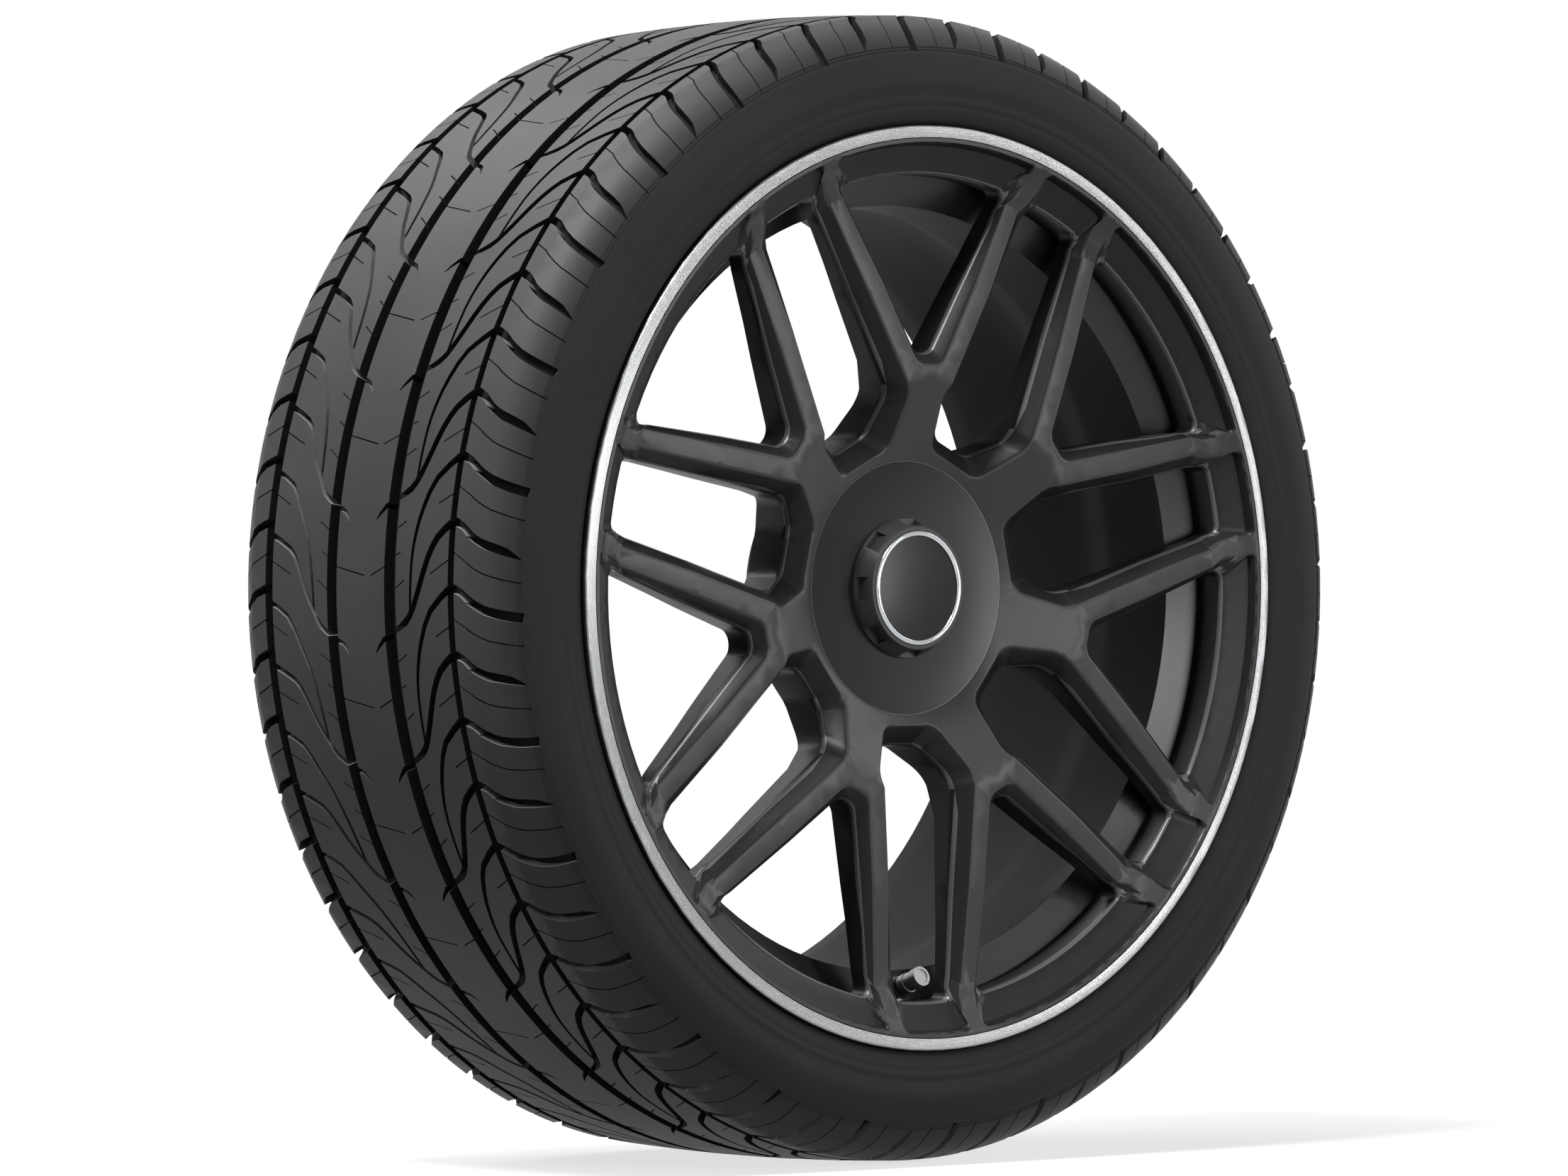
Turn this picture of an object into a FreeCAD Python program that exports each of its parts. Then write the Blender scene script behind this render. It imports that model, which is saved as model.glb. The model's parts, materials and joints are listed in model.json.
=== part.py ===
import FreeCAD, Part
import math
import os
from FreeCAD import Vector

# Forged car wheel with its tyre, screw-on hub cap and pressure-sensing valve.
# Millimetres. The wheel's centre is the origin, the axle runs along Y, the outer face looks towards -Y, +Z is up.

# Rim section, from the bead seats
BEAD_SEAT_R = 253.9
FLANGE_HEIGHT = 17.5
RIM_WIDTH = 228.6
FLANGE_WIDTH = 10.9
FLANGE_ROUND = 6.0
HEEL_ROUND = 5.0
BEAD_SEAT_DROP = 1.3
BEAD_SEAT_LENGTH = 14.8
HUMP_RISE = 1.0
RIM_WALL = 6.5
WELL_DEPTH = 21.9
WELL_START = 30.0
WELL_LENGTH = 41.2
BARREL_DEPTH = 10.4
LIP_FACE_WIDTH = 5.9
LIP_CHAMFER = 1.2
LIP_GROOVE_WIDTH = 0.6
LIP_GROOVE_DEPTH = 1.4

# Face of the wheel: radius and distance of each crease behind or ahead of the outer lip
RING_WIDTH = 2.6
SWEEP_BACK = 8.5
SWEEP_SET = 6.7
KINK_OUT_BACK = 18.0
KINK_OUT_SET = 8.9
KINK_IN_BACK = 25.5
KINK_IN_SET = 12.4
MID_R = 180.0
MID_SET = 8.2
CREASE_R = 122.0
CREASE_SET = 7.2
HUB_EDGE_SET = 28.9
ARM_THICKNESS = 21.0
WEB_THICKNESS = 35.0

# Spokes: seven Y shapes, so seven wide and seven narrow windows
SPOKES = 7
NARROW_HUB_HALF = 20.4
NARROW_HUB_R = 82.9
NARROW_WAIST_HALF = 37.3
NARROW_WAIST_R = 114.3
NARROW_CREASE_HALF = 36.4
NARROW_MID_HALF = 32.4
NARROW_KINK_IN_HALF = 30.0
NARROW_KINK_OUT_HALF = 27.1
NARROW_RING_HALF = 25.9
WIDE_HUB_HALF = 9.7
WIDE_HUB_R = 130.8
ARM_MID_WIDTH = 12.0
ARM_KINK_IN_WIDTH = 10.0
ARM_KINK_OUT_WIDTH = 8.6
ARM_RING_WIDTH = 8.4
HUB_CORNER_ROUND = 11.0
WAIST_ROUND = 15.0
RING_CORNER_ROUND = 4.5
BEVEL_INSET = 7.8
BEVEL_HUB_INSET = 10.5
BEVEL_DEPTH = 10.0
BEVEL_RING_REACH = 18.2
BEVEL_RING_DEPTH = 14.0
STEP_REACH = 1.7
STEP_DEPTH = 6.4
RIDGE_CORNER_ROUND = 5.0
EDGE_EASE = 1.1
RIDGE_EASE = 1.8
WINDOW_WALL_GAP = 4.0

# Hub
HUB_OFFSET = 40.0
HUB_PAD_R = 76.0
CENTRE_BORE_R = 33.3
CENTRE_BORE_LENGTH = 17.0
BORE_CHAMFER = 1.5
BOLT_COUNT = 5
BOLT_CIRCLE_R = 56.0
BOLT_HOLE_R = 7.5
BOLT_SEAT_R = 12.5
BOLT_SEAT_DEPTH = 5.0
BOLT_WEB = 22.0
CAP_EDGE_R = 75.5
CAP_SEAT_DEPTH = 8.3
CAP_SHOULDER = 2.5
CAP_THREAD_R = 31.0
BOSS_R = 40.0
BOSS_HEIGHT = 12.0

# Tyre
TYRE_R = 339.3
TREAD_HALF_WIDTH = 97.6
TREAD_DROP = 2.6
SHOULDER_HALF_WIDTH = 105.5
SHOULDER_DROP = 6.6
SECTION_HALF_WIDTH = 126.0
SECTION_R = 299.0
PROTECTOR_R = 282.0
TREAD_THICKNESS = 16.0
SIDEWALL_THICKNESS = 9.5
BEAD_GAP = 0.25
GROOVE_DEPTH = 7.5
GROOVE_EDGES = ((-87.0, -82.0), (-37.0, -27.0), (16.0, 25.0), (77.0, 84.0))
TREAD_PITCHES = 28
TREAD_PHASE = -115.0
SHOULDER_GROOVE_WIDTH = 3.2
SHOULDER_GROOVE_DEPTH = 5.0

# Cross grooves of one tread pitch: (distance across, degrees round, width) from end to end
CROSS_GROOVES = (
    ((-83, 18.4, 5.0), (-72, 17.0, 4.6), (-64.5, 15.0, 4.4), (-52, 10.2, 4.2), (-45.7, 8.9, 4.4), (-34, 7.9, 3.0)),
    ((-50.0, 11.0, 2.0), (-50.7, 14.5, 2.2), (-53.3, 17.3, 2.6), (-58.3, 20.0, 3.2), (-67, 22.8, 3.8), (-83, 24.9, 4.6)),
    ((-34, 20.0, 3.4), (-26, 20.1, 3.4), (-17.5, 18.7, 0.8)),
    ((24, 7.7, 3.4), (31.7, 8.5, 3.4), (38, 10.0, 3.2), (53, 14.5, 3.2), (60.5, 16.0, 3.4), (79, 17.4, 3.6)),
    ((37.8, 11.2, 2.0), (39.2, 13.5, 2.4), (44.3, 17.0, 2.6), (53, 19.8, 2.8), (63, 22.3, 3.0), (79, 23.6, 3.2)),
    ((18, 20.0, 3.2), (11, 19.6, 2.6), (6.7, 18.6, 0.8)),
)
SHOULDER_GROOVES = (
    (-85, 18.4, -113, 15.3),
    (-85, 24.8, -113, 21.7),
    (80, 18.5, 113, 15.6),
    (80, 24.8, 113, 21.9),
)

# Hub cap, shaped like a castle nut
CAP_CLEARANCE = 0.3
CAP_WALL = 2.6
CAP_DISH = 1.9
NUT_BASE_R = 41.3
NUT_TOP_R = 36.0
NUT_HEIGHT = 12.4
NUT_NOTCHES = 8
NUT_NOTCH_WIDTH = 13.0
NUT_NOTCH_DEPTH = 4.4
NUT_NOTCH_FLOOR = 2.2
CAP_RING_R = 33.9
CAP_RING_WIDTH = 3.4
CAP_RING_PROUD = 1.6
CAP_RECESS_DEPTH = 1.6
BADGE_CROWN = 0.9
BADGE_THICKNESS = 1.4
CAP_THREAD_CLEARANCE = 0.35
CAP_SLEEVE_WALL = 3.2
CAP_SLEEVE_TIP = 2.0
CAP_SEAL_R = 36.0
CAP_SEAL_THICKNESS = 2.5
SEAT_GAP = 0.05

# Valve, clamped through the front wall of the rim's well
VALVE_R = 236.6
VALVE_SEAT_DEPTH = 0.4
VALVE_SEAT_MARGIN = 0.5
VALVE_TILT = 20.7
VALVE_HOLE_R = 5.65
STEM_R = 4.0
STEM_THREAD_R = 3.85
STEM_BORE_R = 2.6
STEM_TIP = 21.1
STEM_HEAD_R = 7.5
STEM_HEAD_THICKNESS = 2.5
STEM_TAIL_R = 3.5
STEM_TAIL_LENGTH = 5.0
STEM_TAP_R = 2.05
STEM_TAP_DEPTH = 4.0
GROMMET_R = 7.0
GROMMET_FLANGE = 2.8
WASHER_R = 7.2
WASHER_THICKNESS = 1.0
NUT_FLATS = 13.0
NUT_THICKNESS = 5.4
STEM_CLEARANCE = 0.1
CORE_LENGTH = 12.0
CORE_BELOW_TIP = 1.6
CORE_HOLE_R = 1.3
PIN_R = 0.8
PIN_BELOW_TIP = 0.4
PIN_TAIL = 5.0
PIN_CUP_R = 1.9
PIN_CUP_HEIGHT = 2.0
PIN_CUP_GAP = 0.1
SPRING_WIRE_R = 0.2
SPRING_R = 1.3
SPRING_PITCH = 1.1
SPRING_LENGTH = 4.0
SPRING_SECTIONS = 12
VALVE_CAP_R = 6.0
VALVE_CAP_NECK_R = 5.6
VALVE_CAP_COLLAR = 5.5
VALVE_CAP_LENGTH = 17.0
VALVE_CAP_ROOF = 2.9
VALVE_CAP_THREAD_CLEARANCE = 0.4
VALVE_CAP_DISH_R = 4.4
VALVE_CAP_DISH_DEPTH = 0.7
VALVE_SEAL_THICKNESS = 0.9
VALVE_SEAL_HOLE_R = 1.6
SENSOR_LENGTH = 46.0
SENSOR_WIDTH = 27.0
SENSOR_HEIGHT = 12.0
SENSOR_FOOT_GAP = 4.5
SENSOR_ROUND = 3.0
SENSOR_BOSS_R = 6.5
SENSOR_BOSS_THICKNESS = 4.0
SCREW_R = 1.95
SCREW_HEAD_R = 4.0
SCREW_HEAD_HEIGHT = 2.6
SCREW_CLEARANCE = 0.4
SCREW_TIP_GAP = 0.5

# Sizes that follow from those above
LIP_R = BEAD_SEAT_R + FLANGE_HEIGHT
FLANGE_Y = RIM_WIDTH / 2
LIP_Y = FLANGE_Y + FLANGE_WIDTH
LIP_FACE_R = LIP_R - LIP_CHAMFER
LIP_INNER_R = LIP_FACE_R - LIP_FACE_WIDTH
GROOVE_INNER_R = LIP_INNER_R - LIP_GROOVE_WIDTH
RING_R = GROOVE_INNER_R - RING_WIDTH
FRONT_Y = -LIP_Y
KINK_IN_R = RING_R - KINK_IN_BACK
KINK_OUT_R = RING_R - KINK_OUT_BACK
SWEEP_R = RING_R - SWEEP_BACK
RIDGE_RING_R = RING_R - BEVEL_RING_REACH
FACE = (
    (CAP_EDGE_R, FRONT_Y + HUB_EDGE_SET),
    (CREASE_R, FRONT_Y + CREASE_SET),
    (MID_R, FRONT_Y + MID_SET),
    (KINK_IN_R, FRONT_Y + KINK_IN_SET),
    (KINK_OUT_R, FRONT_Y + KINK_OUT_SET),
    (SWEEP_R, FRONT_Y + SWEEP_SET),
    (RING_R, FRONT_Y),
)
CAP_EDGE_Y = FACE[0][1]
PAD_Y = -HUB_OFFSET
HUB_FLOOR_Y = PAD_Y - BOLT_WEB
BORE_SHOULDER_Y = PAD_Y - CENTRE_BORE_LENGTH
BOSS_TOP_Y = HUB_FLOOR_Y - BOSS_HEIGHT
CAP_SEAT_Y = CAP_EDGE_Y + CAP_SEAT_DEPTH
WELL_R = BEAD_SEAT_R - WELL_DEPTH
BARREL_R = BEAD_SEAT_R - BARREL_DEPTH
SEAT_TOE_Y = FLANGE_Y - HEEL_ROUND - BEAD_SEAT_LENGTH
SEAT_TOE_R = BEAD_SEAT_R - BEAD_SEAT_DROP
WELL_WALL_TOP_Y = -FLANGE_Y + WELL_START
WELL_WALL_TOP_R = SEAT_TOE_R - 4.6
TILT_SLOPE = math.tan(math.radians(VALVE_TILT))
WELL_FLOOR_Y = WELL_WALL_TOP_Y + (WELL_WALL_TOP_R - WELL_R) * TILT_SLOPE
WELL_END_Y = WELL_FLOOR_Y + WELL_LENGTH
WELL_WALL_STEP = RIM_WALL / math.cos(math.radians(VALVE_TILT))
PITCH = 2 * math.pi / SPOKES
ORIGIN = Vector(0, 0, 0)
AXLE = Vector(0, 1, 0)


def line(start, end):
    return Part.LineSegment(start, end).toShape()


def arc(start, middle, end):
    return Part.Arc(start, middle, end).toShape()


def between(table, value):
    """Straight-line reading of a table of (place, height) pairs."""
    for (place_a, height_a), (place_b, height_b) in zip(table, table[1:]):
        if value <= place_b or (place_b, height_b) == table[-1]:
            share = (value - place_a) / (place_b - place_a)
            return height_a + share * (height_b - height_a)


def profile_edges(points):
    """Edges through (radius, y) points; a point of three pairs is an arc's middle and end."""
    edges = []
    here = Vector(points[0][0], points[0][1], 0)
    for point in points[1:]:
        if isinstance(point[0], tuple):
            middle = Vector(point[0][0], point[0][1], 0)
            there = Vector(point[1][0], point[1][1], 0)
            edges.append(arc(here, middle, there))
        else:
            there = Vector(point[0], point[1], 0)
            edges.append(line(here, there))
        here = there
    return edges


def turned(points):
    """Solid of revolution about the axle from a closed profile of (radius, y) points."""
    edges = profile_edges(list(points) + [points[0]])
    return Part.Face(Part.Wire(edges)).revolve(ORIGIN, AXLE, 360)


def ring(inner_r, outer_r, low_y, high_y):
    return turned([(inner_r, low_y), (outer_r, low_y), (outer_r, high_y), (inner_r, high_y)])


def on_circle(centre_r, centre_y, radius, degrees):
    """Point of a small circle in the (radius, y) plane."""
    angle = math.radians(degrees)
    return (centre_r + radius * math.cos(angle), centre_y + radius * math.sin(angle))


def well_wall_y(r):
    """Front of the well's sloping front wall at a radius."""
    return WELL_FLOOR_Y - WELL_WALL_STEP - (r - WELL_R) * TILT_SLOPE


# Rim and face

def flange_side(side):
    """Tyre-side profile of one flange and bead seat, from the lip's edge to the foot of the hump."""
    round_y = side * (FLANGE_Y + FLANGE_ROUND)
    round_r = LIP_R - FLANGE_ROUND
    heel_y = side * (FLANGE_Y - HEEL_ROUND)
    heel_r = BEAD_SEAT_R + HEEL_ROUND
    return [
        (LIP_R - LIP_CHAMFER, side * LIP_Y),
        (LIP_R, side * (LIP_Y - LIP_CHAMFER)),
        (LIP_R, round_y),
        on_circle(round_r, round_y, FLANGE_ROUND, -45 * side),
        (round_r, side * FLANGE_Y),
        (heel_r, side * FLANGE_Y),
        on_circle(heel_r, heel_y, HEEL_ROUND, 180 - 45 * side),
        (BEAD_SEAT_R, heel_y),
        (SEAT_TOE_R, side * SEAT_TOE_Y),
        (SEAT_TOE_R + HUMP_RISE, side * (SEAT_TOE_Y - 2.5)),
        (SEAT_TOE_R - HUMP_RISE, side * (SEAT_TOE_Y - 6.0)),
    ]


def reversed_profile(points):
    """The same profile walked the other way."""
    back = []
    ends = [p[1] if isinstance(p[0], tuple) else p for p in points]
    back.append(ends[-1])
    for index in range(len(points) - 1, 0, -1):
        if isinstance(points[index][0], tuple):
            back.append((points[index][0], ends[index - 1]))
        else:
            back.append(ends[index - 1])
    return back


def spoke_back():
    """Back of the spoke disc from the rim to the hub pad."""
    rim_y = FRONT_Y + KINK_IN_SET + ARM_THICKNESS - 6.0
    return [
        (RIDGE_RING_R + 1.5, rim_y),
        (MID_R + 20, FRONT_Y + MID_SET + ARM_THICKNESS),
        (WIDE_HUB_R + 7.0, FRONT_Y + CREASE_SET + ARM_THICKNESS + 6.0),
        (CREASE_R - 2.0, FRONT_Y + CREASE_SET + WEB_THICKNESS),
        (NARROW_HUB_R + 9.0, PAD_Y - 20.0),
        (HUB_PAD_R + 2.0, PAD_Y - 7.0),
        (HUB_PAD_R, PAD_Y),
    ]


def wheel_blank():
    inner_well_r = WELL_R - RIM_WALL
    groove_y = FRONT_Y + LIP_GROOVE_DEPTH
    barrel_end_y = SEAT_TOE_Y - 8.0
    profile = [
        (CAP_THREAD_R, BORE_SHOULDER_Y),
        (CAP_THREAD_R, BOSS_TOP_Y),
        (BOSS_R, BOSS_TOP_Y),
        (BOSS_R, HUB_FLOOR_Y),
        (CAP_EDGE_R - CAP_SHOULDER, HUB_FLOOR_Y),
        (CAP_EDGE_R - CAP_SHOULDER, CAP_SEAT_Y),
        (CAP_EDGE_R, CAP_SEAT_Y),
    ]
    profile += list(FACE)
    profile += [
        (GROOVE_INNER_R, FRONT_Y),
        (GROOVE_INNER_R, groove_y),
        (LIP_INNER_R, groove_y),
        (LIP_INNER_R, FRONT_Y),
    ]
    profile += flange_side(-1)
    profile += [
        (WELL_WALL_TOP_R, WELL_WALL_TOP_Y),
        (WELL_R, WELL_FLOOR_Y),
        (WELL_R, WELL_END_Y),
        (BARREL_R, WELL_END_Y + WELL_LENGTH * 0.9),
        (SEAT_TOE_R - RIM_WALL + 1.0, barrel_end_y),
    ]
    profile += reversed_profile(flange_side(1))
    profile += [
        (LIP_INNER_R, LIP_Y),
        (LIP_R - FLANGE_HEIGHT + RIM_WALL, LIP_Y - 8.0),
        (SEAT_TOE_R - RIM_WALL, FLANGE_Y - 4.0),
        (SEAT_TOE_R - 2 * RIM_WALL + 1.0, barrel_end_y),
        (BARREL_R - RIM_WALL, WELL_END_Y + WELL_LENGTH * 0.9),
        (inner_well_r, WELL_END_Y),
        (inner_well_r, well_wall_y(inner_well_r)),
        (RIDGE_RING_R + 1.5, well_wall_y(RIDGE_RING_R + 1.5)),
    ]
    profile += spoke_back()
    profile += [
        (CENTRE_BORE_R + BORE_CHAMFER, PAD_Y),
        (CENTRE_BORE_R, PAD_Y - BORE_CHAMFER),
        (CENTRE_BORE_R, BORE_SHOULDER_Y),
    ]
    return turned(profile)


# Window outlines, drawn in the (x, z) plane with the window's middle line along +Z

def corner_arc(before, corner, after, radius):
    """Start, middle and end of the arc that rounds a corner."""
    to_before = (before - corner).normalize()
    to_after = (after - corner).normalize()
    half = to_before.getAngle(to_after) / 2
    reach = radius / math.tan(half)
    inward = (to_before + to_after).normalize()
    centre = corner + inward * (radius / math.sin(half))
    return corner + to_before * reach, centre - inward * radius, corner + to_after * reach


def rim_corner_arc(start, end, rim_r, radius):
    """Arc that rounds the corner where a window's side meets the circle of its outer end."""
    along = (end - start).normalize()
    inward = Vector(-along.z, 0, along.x)
    base = start + inward * radius
    reach = base.dot(along)
    travel = math.sqrt(reach ** 2 - base.dot(base) + (rim_r - radius) ** 2) - reach
    centre = base + along * travel
    on_side = start + along * travel
    on_rim = Vector(centre).normalize() * rim_r
    middle = centre + ((on_side - centre) + (on_rim - centre)).normalize() * radius
    return on_side, middle, on_rim


def half_outline(stations, rim_r, rim_round):
    """Right-hand half of a window as points: one per plain corner, three per rounded corner."""
    corners = [Vector(x, 0, math.sqrt(r * r - x * x)) for x, r, rounding in stations]
    chain = [Vector(0, 0, corners[0].z)] + corners
    pieces = []
    for index, station in enumerate(stations[:-1]):
        rounding = station[2]
        if rounding:
            pieces.append(corner_arc(chain[index], chain[index + 1], chain[index + 2], rounding))
        else:
            pieces.append((chain[index + 1],))
    pieces.append(rim_corner_arc(corners[-2], corners[-1], rim_r, rim_round))
    return pieces


def mirrored(pieces):
    return [tuple(Vector(-p.x, p.y, p.z) for p in reversed(piece)) for piece in reversed(pieces)]


def outline(stations, rim_r, rim_round, depth):
    """Whole window outline, each point at the depth that its radius calls for."""
    right = half_outline(stations, rim_r, rim_round)
    top = [(Vector(0, 0, rim_r),)]
    loop = right + top + mirrored(right)
    return [tuple(Vector(p.x, depth(math.hypot(p.x, p.z)), p.z) for p in piece) for piece in loop]


def wire_of(loop, rim_index):
    """Closed wire through an outline; the outer end is one arc through its middle point."""
    edges = []
    count = len(loop)
    for index, piece in enumerate(loop):
        if index == rim_index:
            continue
        following = loop[(index + 1) % count]
        if len(piece) == 3:
            edges.append(arc(*piece))
        if index + 1 == rim_index:
            beyond = loop[index + 2]
            edges.append(arc(piece[-1], following[0], beyond[0]))
        else:
            edges.append(line(piece[-1], following[0]))
    return Part.Wire(edges)


def at_depth(loop, depth):
    """The same outline laid on a plane that may slope with height."""
    return [tuple(Vector(p.x, depth(p.z), p.z) for p in piece) for piece in loop]


def drawn_out(front, behind, share):
    """Front outline carried on along the bevel, a little past the wheel's face."""
    pairs = zip(front, behind)
    return [tuple(f + (f - b) * share for f, b in zip(fs, bs)) for fs, bs in pairs]


def stepped(front, ridge):
    """Outline just under the front edge: a steep step at the outer end, part of the bevel elsewhere."""
    def below(f, r):
        radius = math.hypot(f.x, f.z)
        if radius < RING_R - STEP_REACH:
            return f + (r - f) * 0.25
        shrink = (RING_R - STEP_REACH) / RING_R
        return Vector(f.x * shrink, FRONT_Y + STEP_DEPTH, f.z * shrink)

    return [tuple(below(f, r) for f, r in zip(fs, rs)) for fs, rs in zip(front, ridge)]


def along(start, end, distance):
    """Outline at a set distance from one outline on the way to another."""
    moved = []
    for starts, ends in zip(start, end):
        moved.append(tuple(a + (b - a).normalize() * distance for a, b in zip(starts, ends)))
    return moved


def spread_on_face(front, ridge, distance):
    """Front outline moved outwards over the wheel's face, away from the ridge."""
    moved = []
    for fronts, ridges in zip(front, ridge):
        points = []
        for f, r in zip(fronts, ridges):
            away = Vector(f.x - r.x, 0, f.z - r.z).normalize() * distance
            points.append(Vector(f.x + away.x, between(FACE, math.hypot(f.x + away.x, f.z + away.z)), f.z + away.z))
        moved.append(tuple(points))
    return moved


def window_cutter(front_stations, ridge_stations, ridge_depth):
    """Window as a loft: eased front edge, step, bevel down to an eased ridge, and the steep inner wall."""
    def face_depth(r):
        return between(FACE, r)

    front = outline(front_stations, RING_R, RING_CORNER_ROUND, face_depth)
    ridge = outline(ridge_stations, RIDGE_RING_R, RIDGE_CORNER_ROUND, ridge_depth)
    rim_index = len(front) // 2
    step = stepped(front, ridge)
    outer_edge = spread_on_face(front, ridge, EDGE_EASE)
    inner_edge = along(front, step, EDGE_EASE)
    proud = drawn_out(outer_edge, inner_edge, 0.4)
    lid = at_depth(proud, lambda z: FRONT_Y - 20)
    end = at_depth(ridge, lambda z: well_wall_y(z) - WINDOW_WALL_GAP)
    above_ridge = along(ridge, step, RIDGE_EASE)
    below_ridge = along(ridge, end, RIDGE_EASE)
    loops = [lid, proud, inner_edge, step, above_ridge, below_ridge, end]
    return Part.makeLoft([wire_of(loop, rim_index) for loop in loops], True, True)


def narrow_window():
    front = (
        (NARROW_HUB_HALF, NARROW_HUB_R, HUB_CORNER_ROUND),
        (NARROW_WAIST_HALF, NARROW_WAIST_R, WAIST_ROUND),
        (NARROW_CREASE_HALF, CREASE_R, 0),
        (NARROW_MID_HALF, MID_R, 0),
        (NARROW_KINK_IN_HALF, KINK_IN_R, 0),
        (NARROW_KINK_OUT_HALF, KINK_OUT_R, 0),
        (NARROW_RING_HALF, RING_R - 3, 0),
    )
    ridge = (
        (NARROW_HUB_HALF - BEVEL_INSET, NARROW_HUB_R + BEVEL_HUB_INSET, HUB_CORNER_ROUND),
        (NARROW_WAIST_HALF - 9.0, NARROW_WAIST_R - 1.5, WAIST_ROUND),
        (NARROW_CREASE_HALF - BEVEL_INSET - 0.6, CREASE_R, 0),
        (NARROW_MID_HALF - BEVEL_INSET, MID_R, 0),
        (NARROW_KINK_IN_HALF - BEVEL_INSET, RIDGE_RING_R - 14, 0),
        (NARROW_KINK_OUT_HALF - BEVEL_INSET + 1.8, RIDGE_RING_R - 8, 0),
        (NARROW_RING_HALF - BEVEL_INSET + 2.2, RIDGE_RING_R - 1, 0),
    )
    ridge_line = (
        (NARROW_HUB_R + BEVEL_HUB_INSET, between(FACE, NARROW_HUB_R) + BEVEL_DEPTH),
        (CREASE_R, FRONT_Y + CREASE_SET + BEVEL_DEPTH + 2.5),
        (MID_R - 40, FRONT_Y + CREASE_SET + BEVEL_DEPTH),
        (RIDGE_RING_R - 8, FRONT_Y + KINK_IN_SET + BEVEL_DEPTH - 5.0),
        (RIDGE_RING_R, FRONT_Y + BEVEL_RING_DEPTH),
    )
    return window_cutter(front, ridge, lambda r: between(ridge_line, r))


def wide_half(narrow_half, radius, arm_width):
    """Half-width of a wide window that leaves an arm of the given width beside the narrow one."""
    angle = PITCH / 2 - math.asin(narrow_half / radius) - arm_width / radius
    return radius * math.sin(angle)


def wide_window():
    mid_half = wide_half(NARROW_MID_HALF, MID_R, ARM_MID_WIDTH)
    kink_in_half = wide_half(NARROW_KINK_IN_HALF, KINK_IN_R, ARM_KINK_IN_WIDTH)
    kink_out_half = wide_half(NARROW_KINK_OUT_HALF, KINK_OUT_R, ARM_KINK_OUT_WIDTH)
    ring_half = wide_half(NARROW_RING_HALF, RING_R - 3, ARM_RING_WIDTH)
    front = (
        (WIDE_HUB_HALF, WIDE_HUB_R, HUB_CORNER_ROUND - 1),
        (mid_half, MID_R, 0),
        (kink_in_half, KINK_IN_R, 0),
        (kink_out_half, KINK_OUT_R, 0),
        (ring_half, RING_R - 3, 0),
    )
    ridge = (
        (WIDE_HUB_HALF - 4.2, WIDE_HUB_R + 7.5, HUB_CORNER_ROUND - 2),
        (mid_half - BEVEL_INSET + 1.2, MID_R, 0),
        (kink_in_half - BEVEL_INSET + 0.8, RIDGE_RING_R - 13, 0),
        (kink_out_half - BEVEL_INSET - 3.6, RIDGE_RING_R - 8.5, 0),
        (kink_out_half - BEVEL_INSET - 1.6, RIDGE_RING_R - 4.5, 0),
    )
    ridge_line = (
        (WIDE_HUB_R, FRONT_Y + CREASE_SET + BEVEL_DEPTH - 2.0),
        (RIDGE_RING_R - 6, FRONT_Y + KINK_IN_SET + BEVEL_DEPTH - 7.0),
        (RIDGE_RING_R, FRONT_Y + BEVEL_RING_DEPTH - 0.8),
    )
    return window_cutter(front, ridge, lambda r: between(ridge_line, r))


def spun(shape, count, first=0.0):
    """Copies of a shape set evenly round the axle, the first turned by the given degrees."""
    copies = []
    for index in range(count):
        copy = shape.copy()
        copy.rotate(ORIGIN, AXLE, first + index * 360 / count)
        copies.append(copy)
    return copies


def bolt_hole():
    deep = PAD_Y + 1
    edges = [
        (0, deep),
        (BOLT_HOLE_R, deep),
        (BOLT_HOLE_R, HUB_FLOOR_Y + BOLT_SEAT_DEPTH),
        (BOLT_SEAT_R, HUB_FLOOR_Y),
        (BOLT_SEAT_R, HUB_FLOOR_Y - 1),
        (0, HUB_FLOOR_Y - 1),
    ]
    hole = turned(edges)
    hole.translate(Vector(0, 0, BOLT_CIRCLE_R))
    return hole


def forged_wheel():
    cutters = spun(wide_window(), SPOKES)
    cutters += spun(narrow_window(), SPOKES, 180 / SPOKES)
    cutters += spun(bolt_hole(), BOLT_COUNT)
    cutters.append(on_valve(Part.makeCylinder(VALVE_HOLE_R, 4 * RIM_WALL, Vector(0, 0, -3 * RIM_WALL))))
    cutters.append(on_valve(Part.makeCylinder(WASHER_R + VALVE_SEAT_MARGIN, RIM_WALL)))
    return wheel_blank().cut(cutters)


# Tyre

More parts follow.
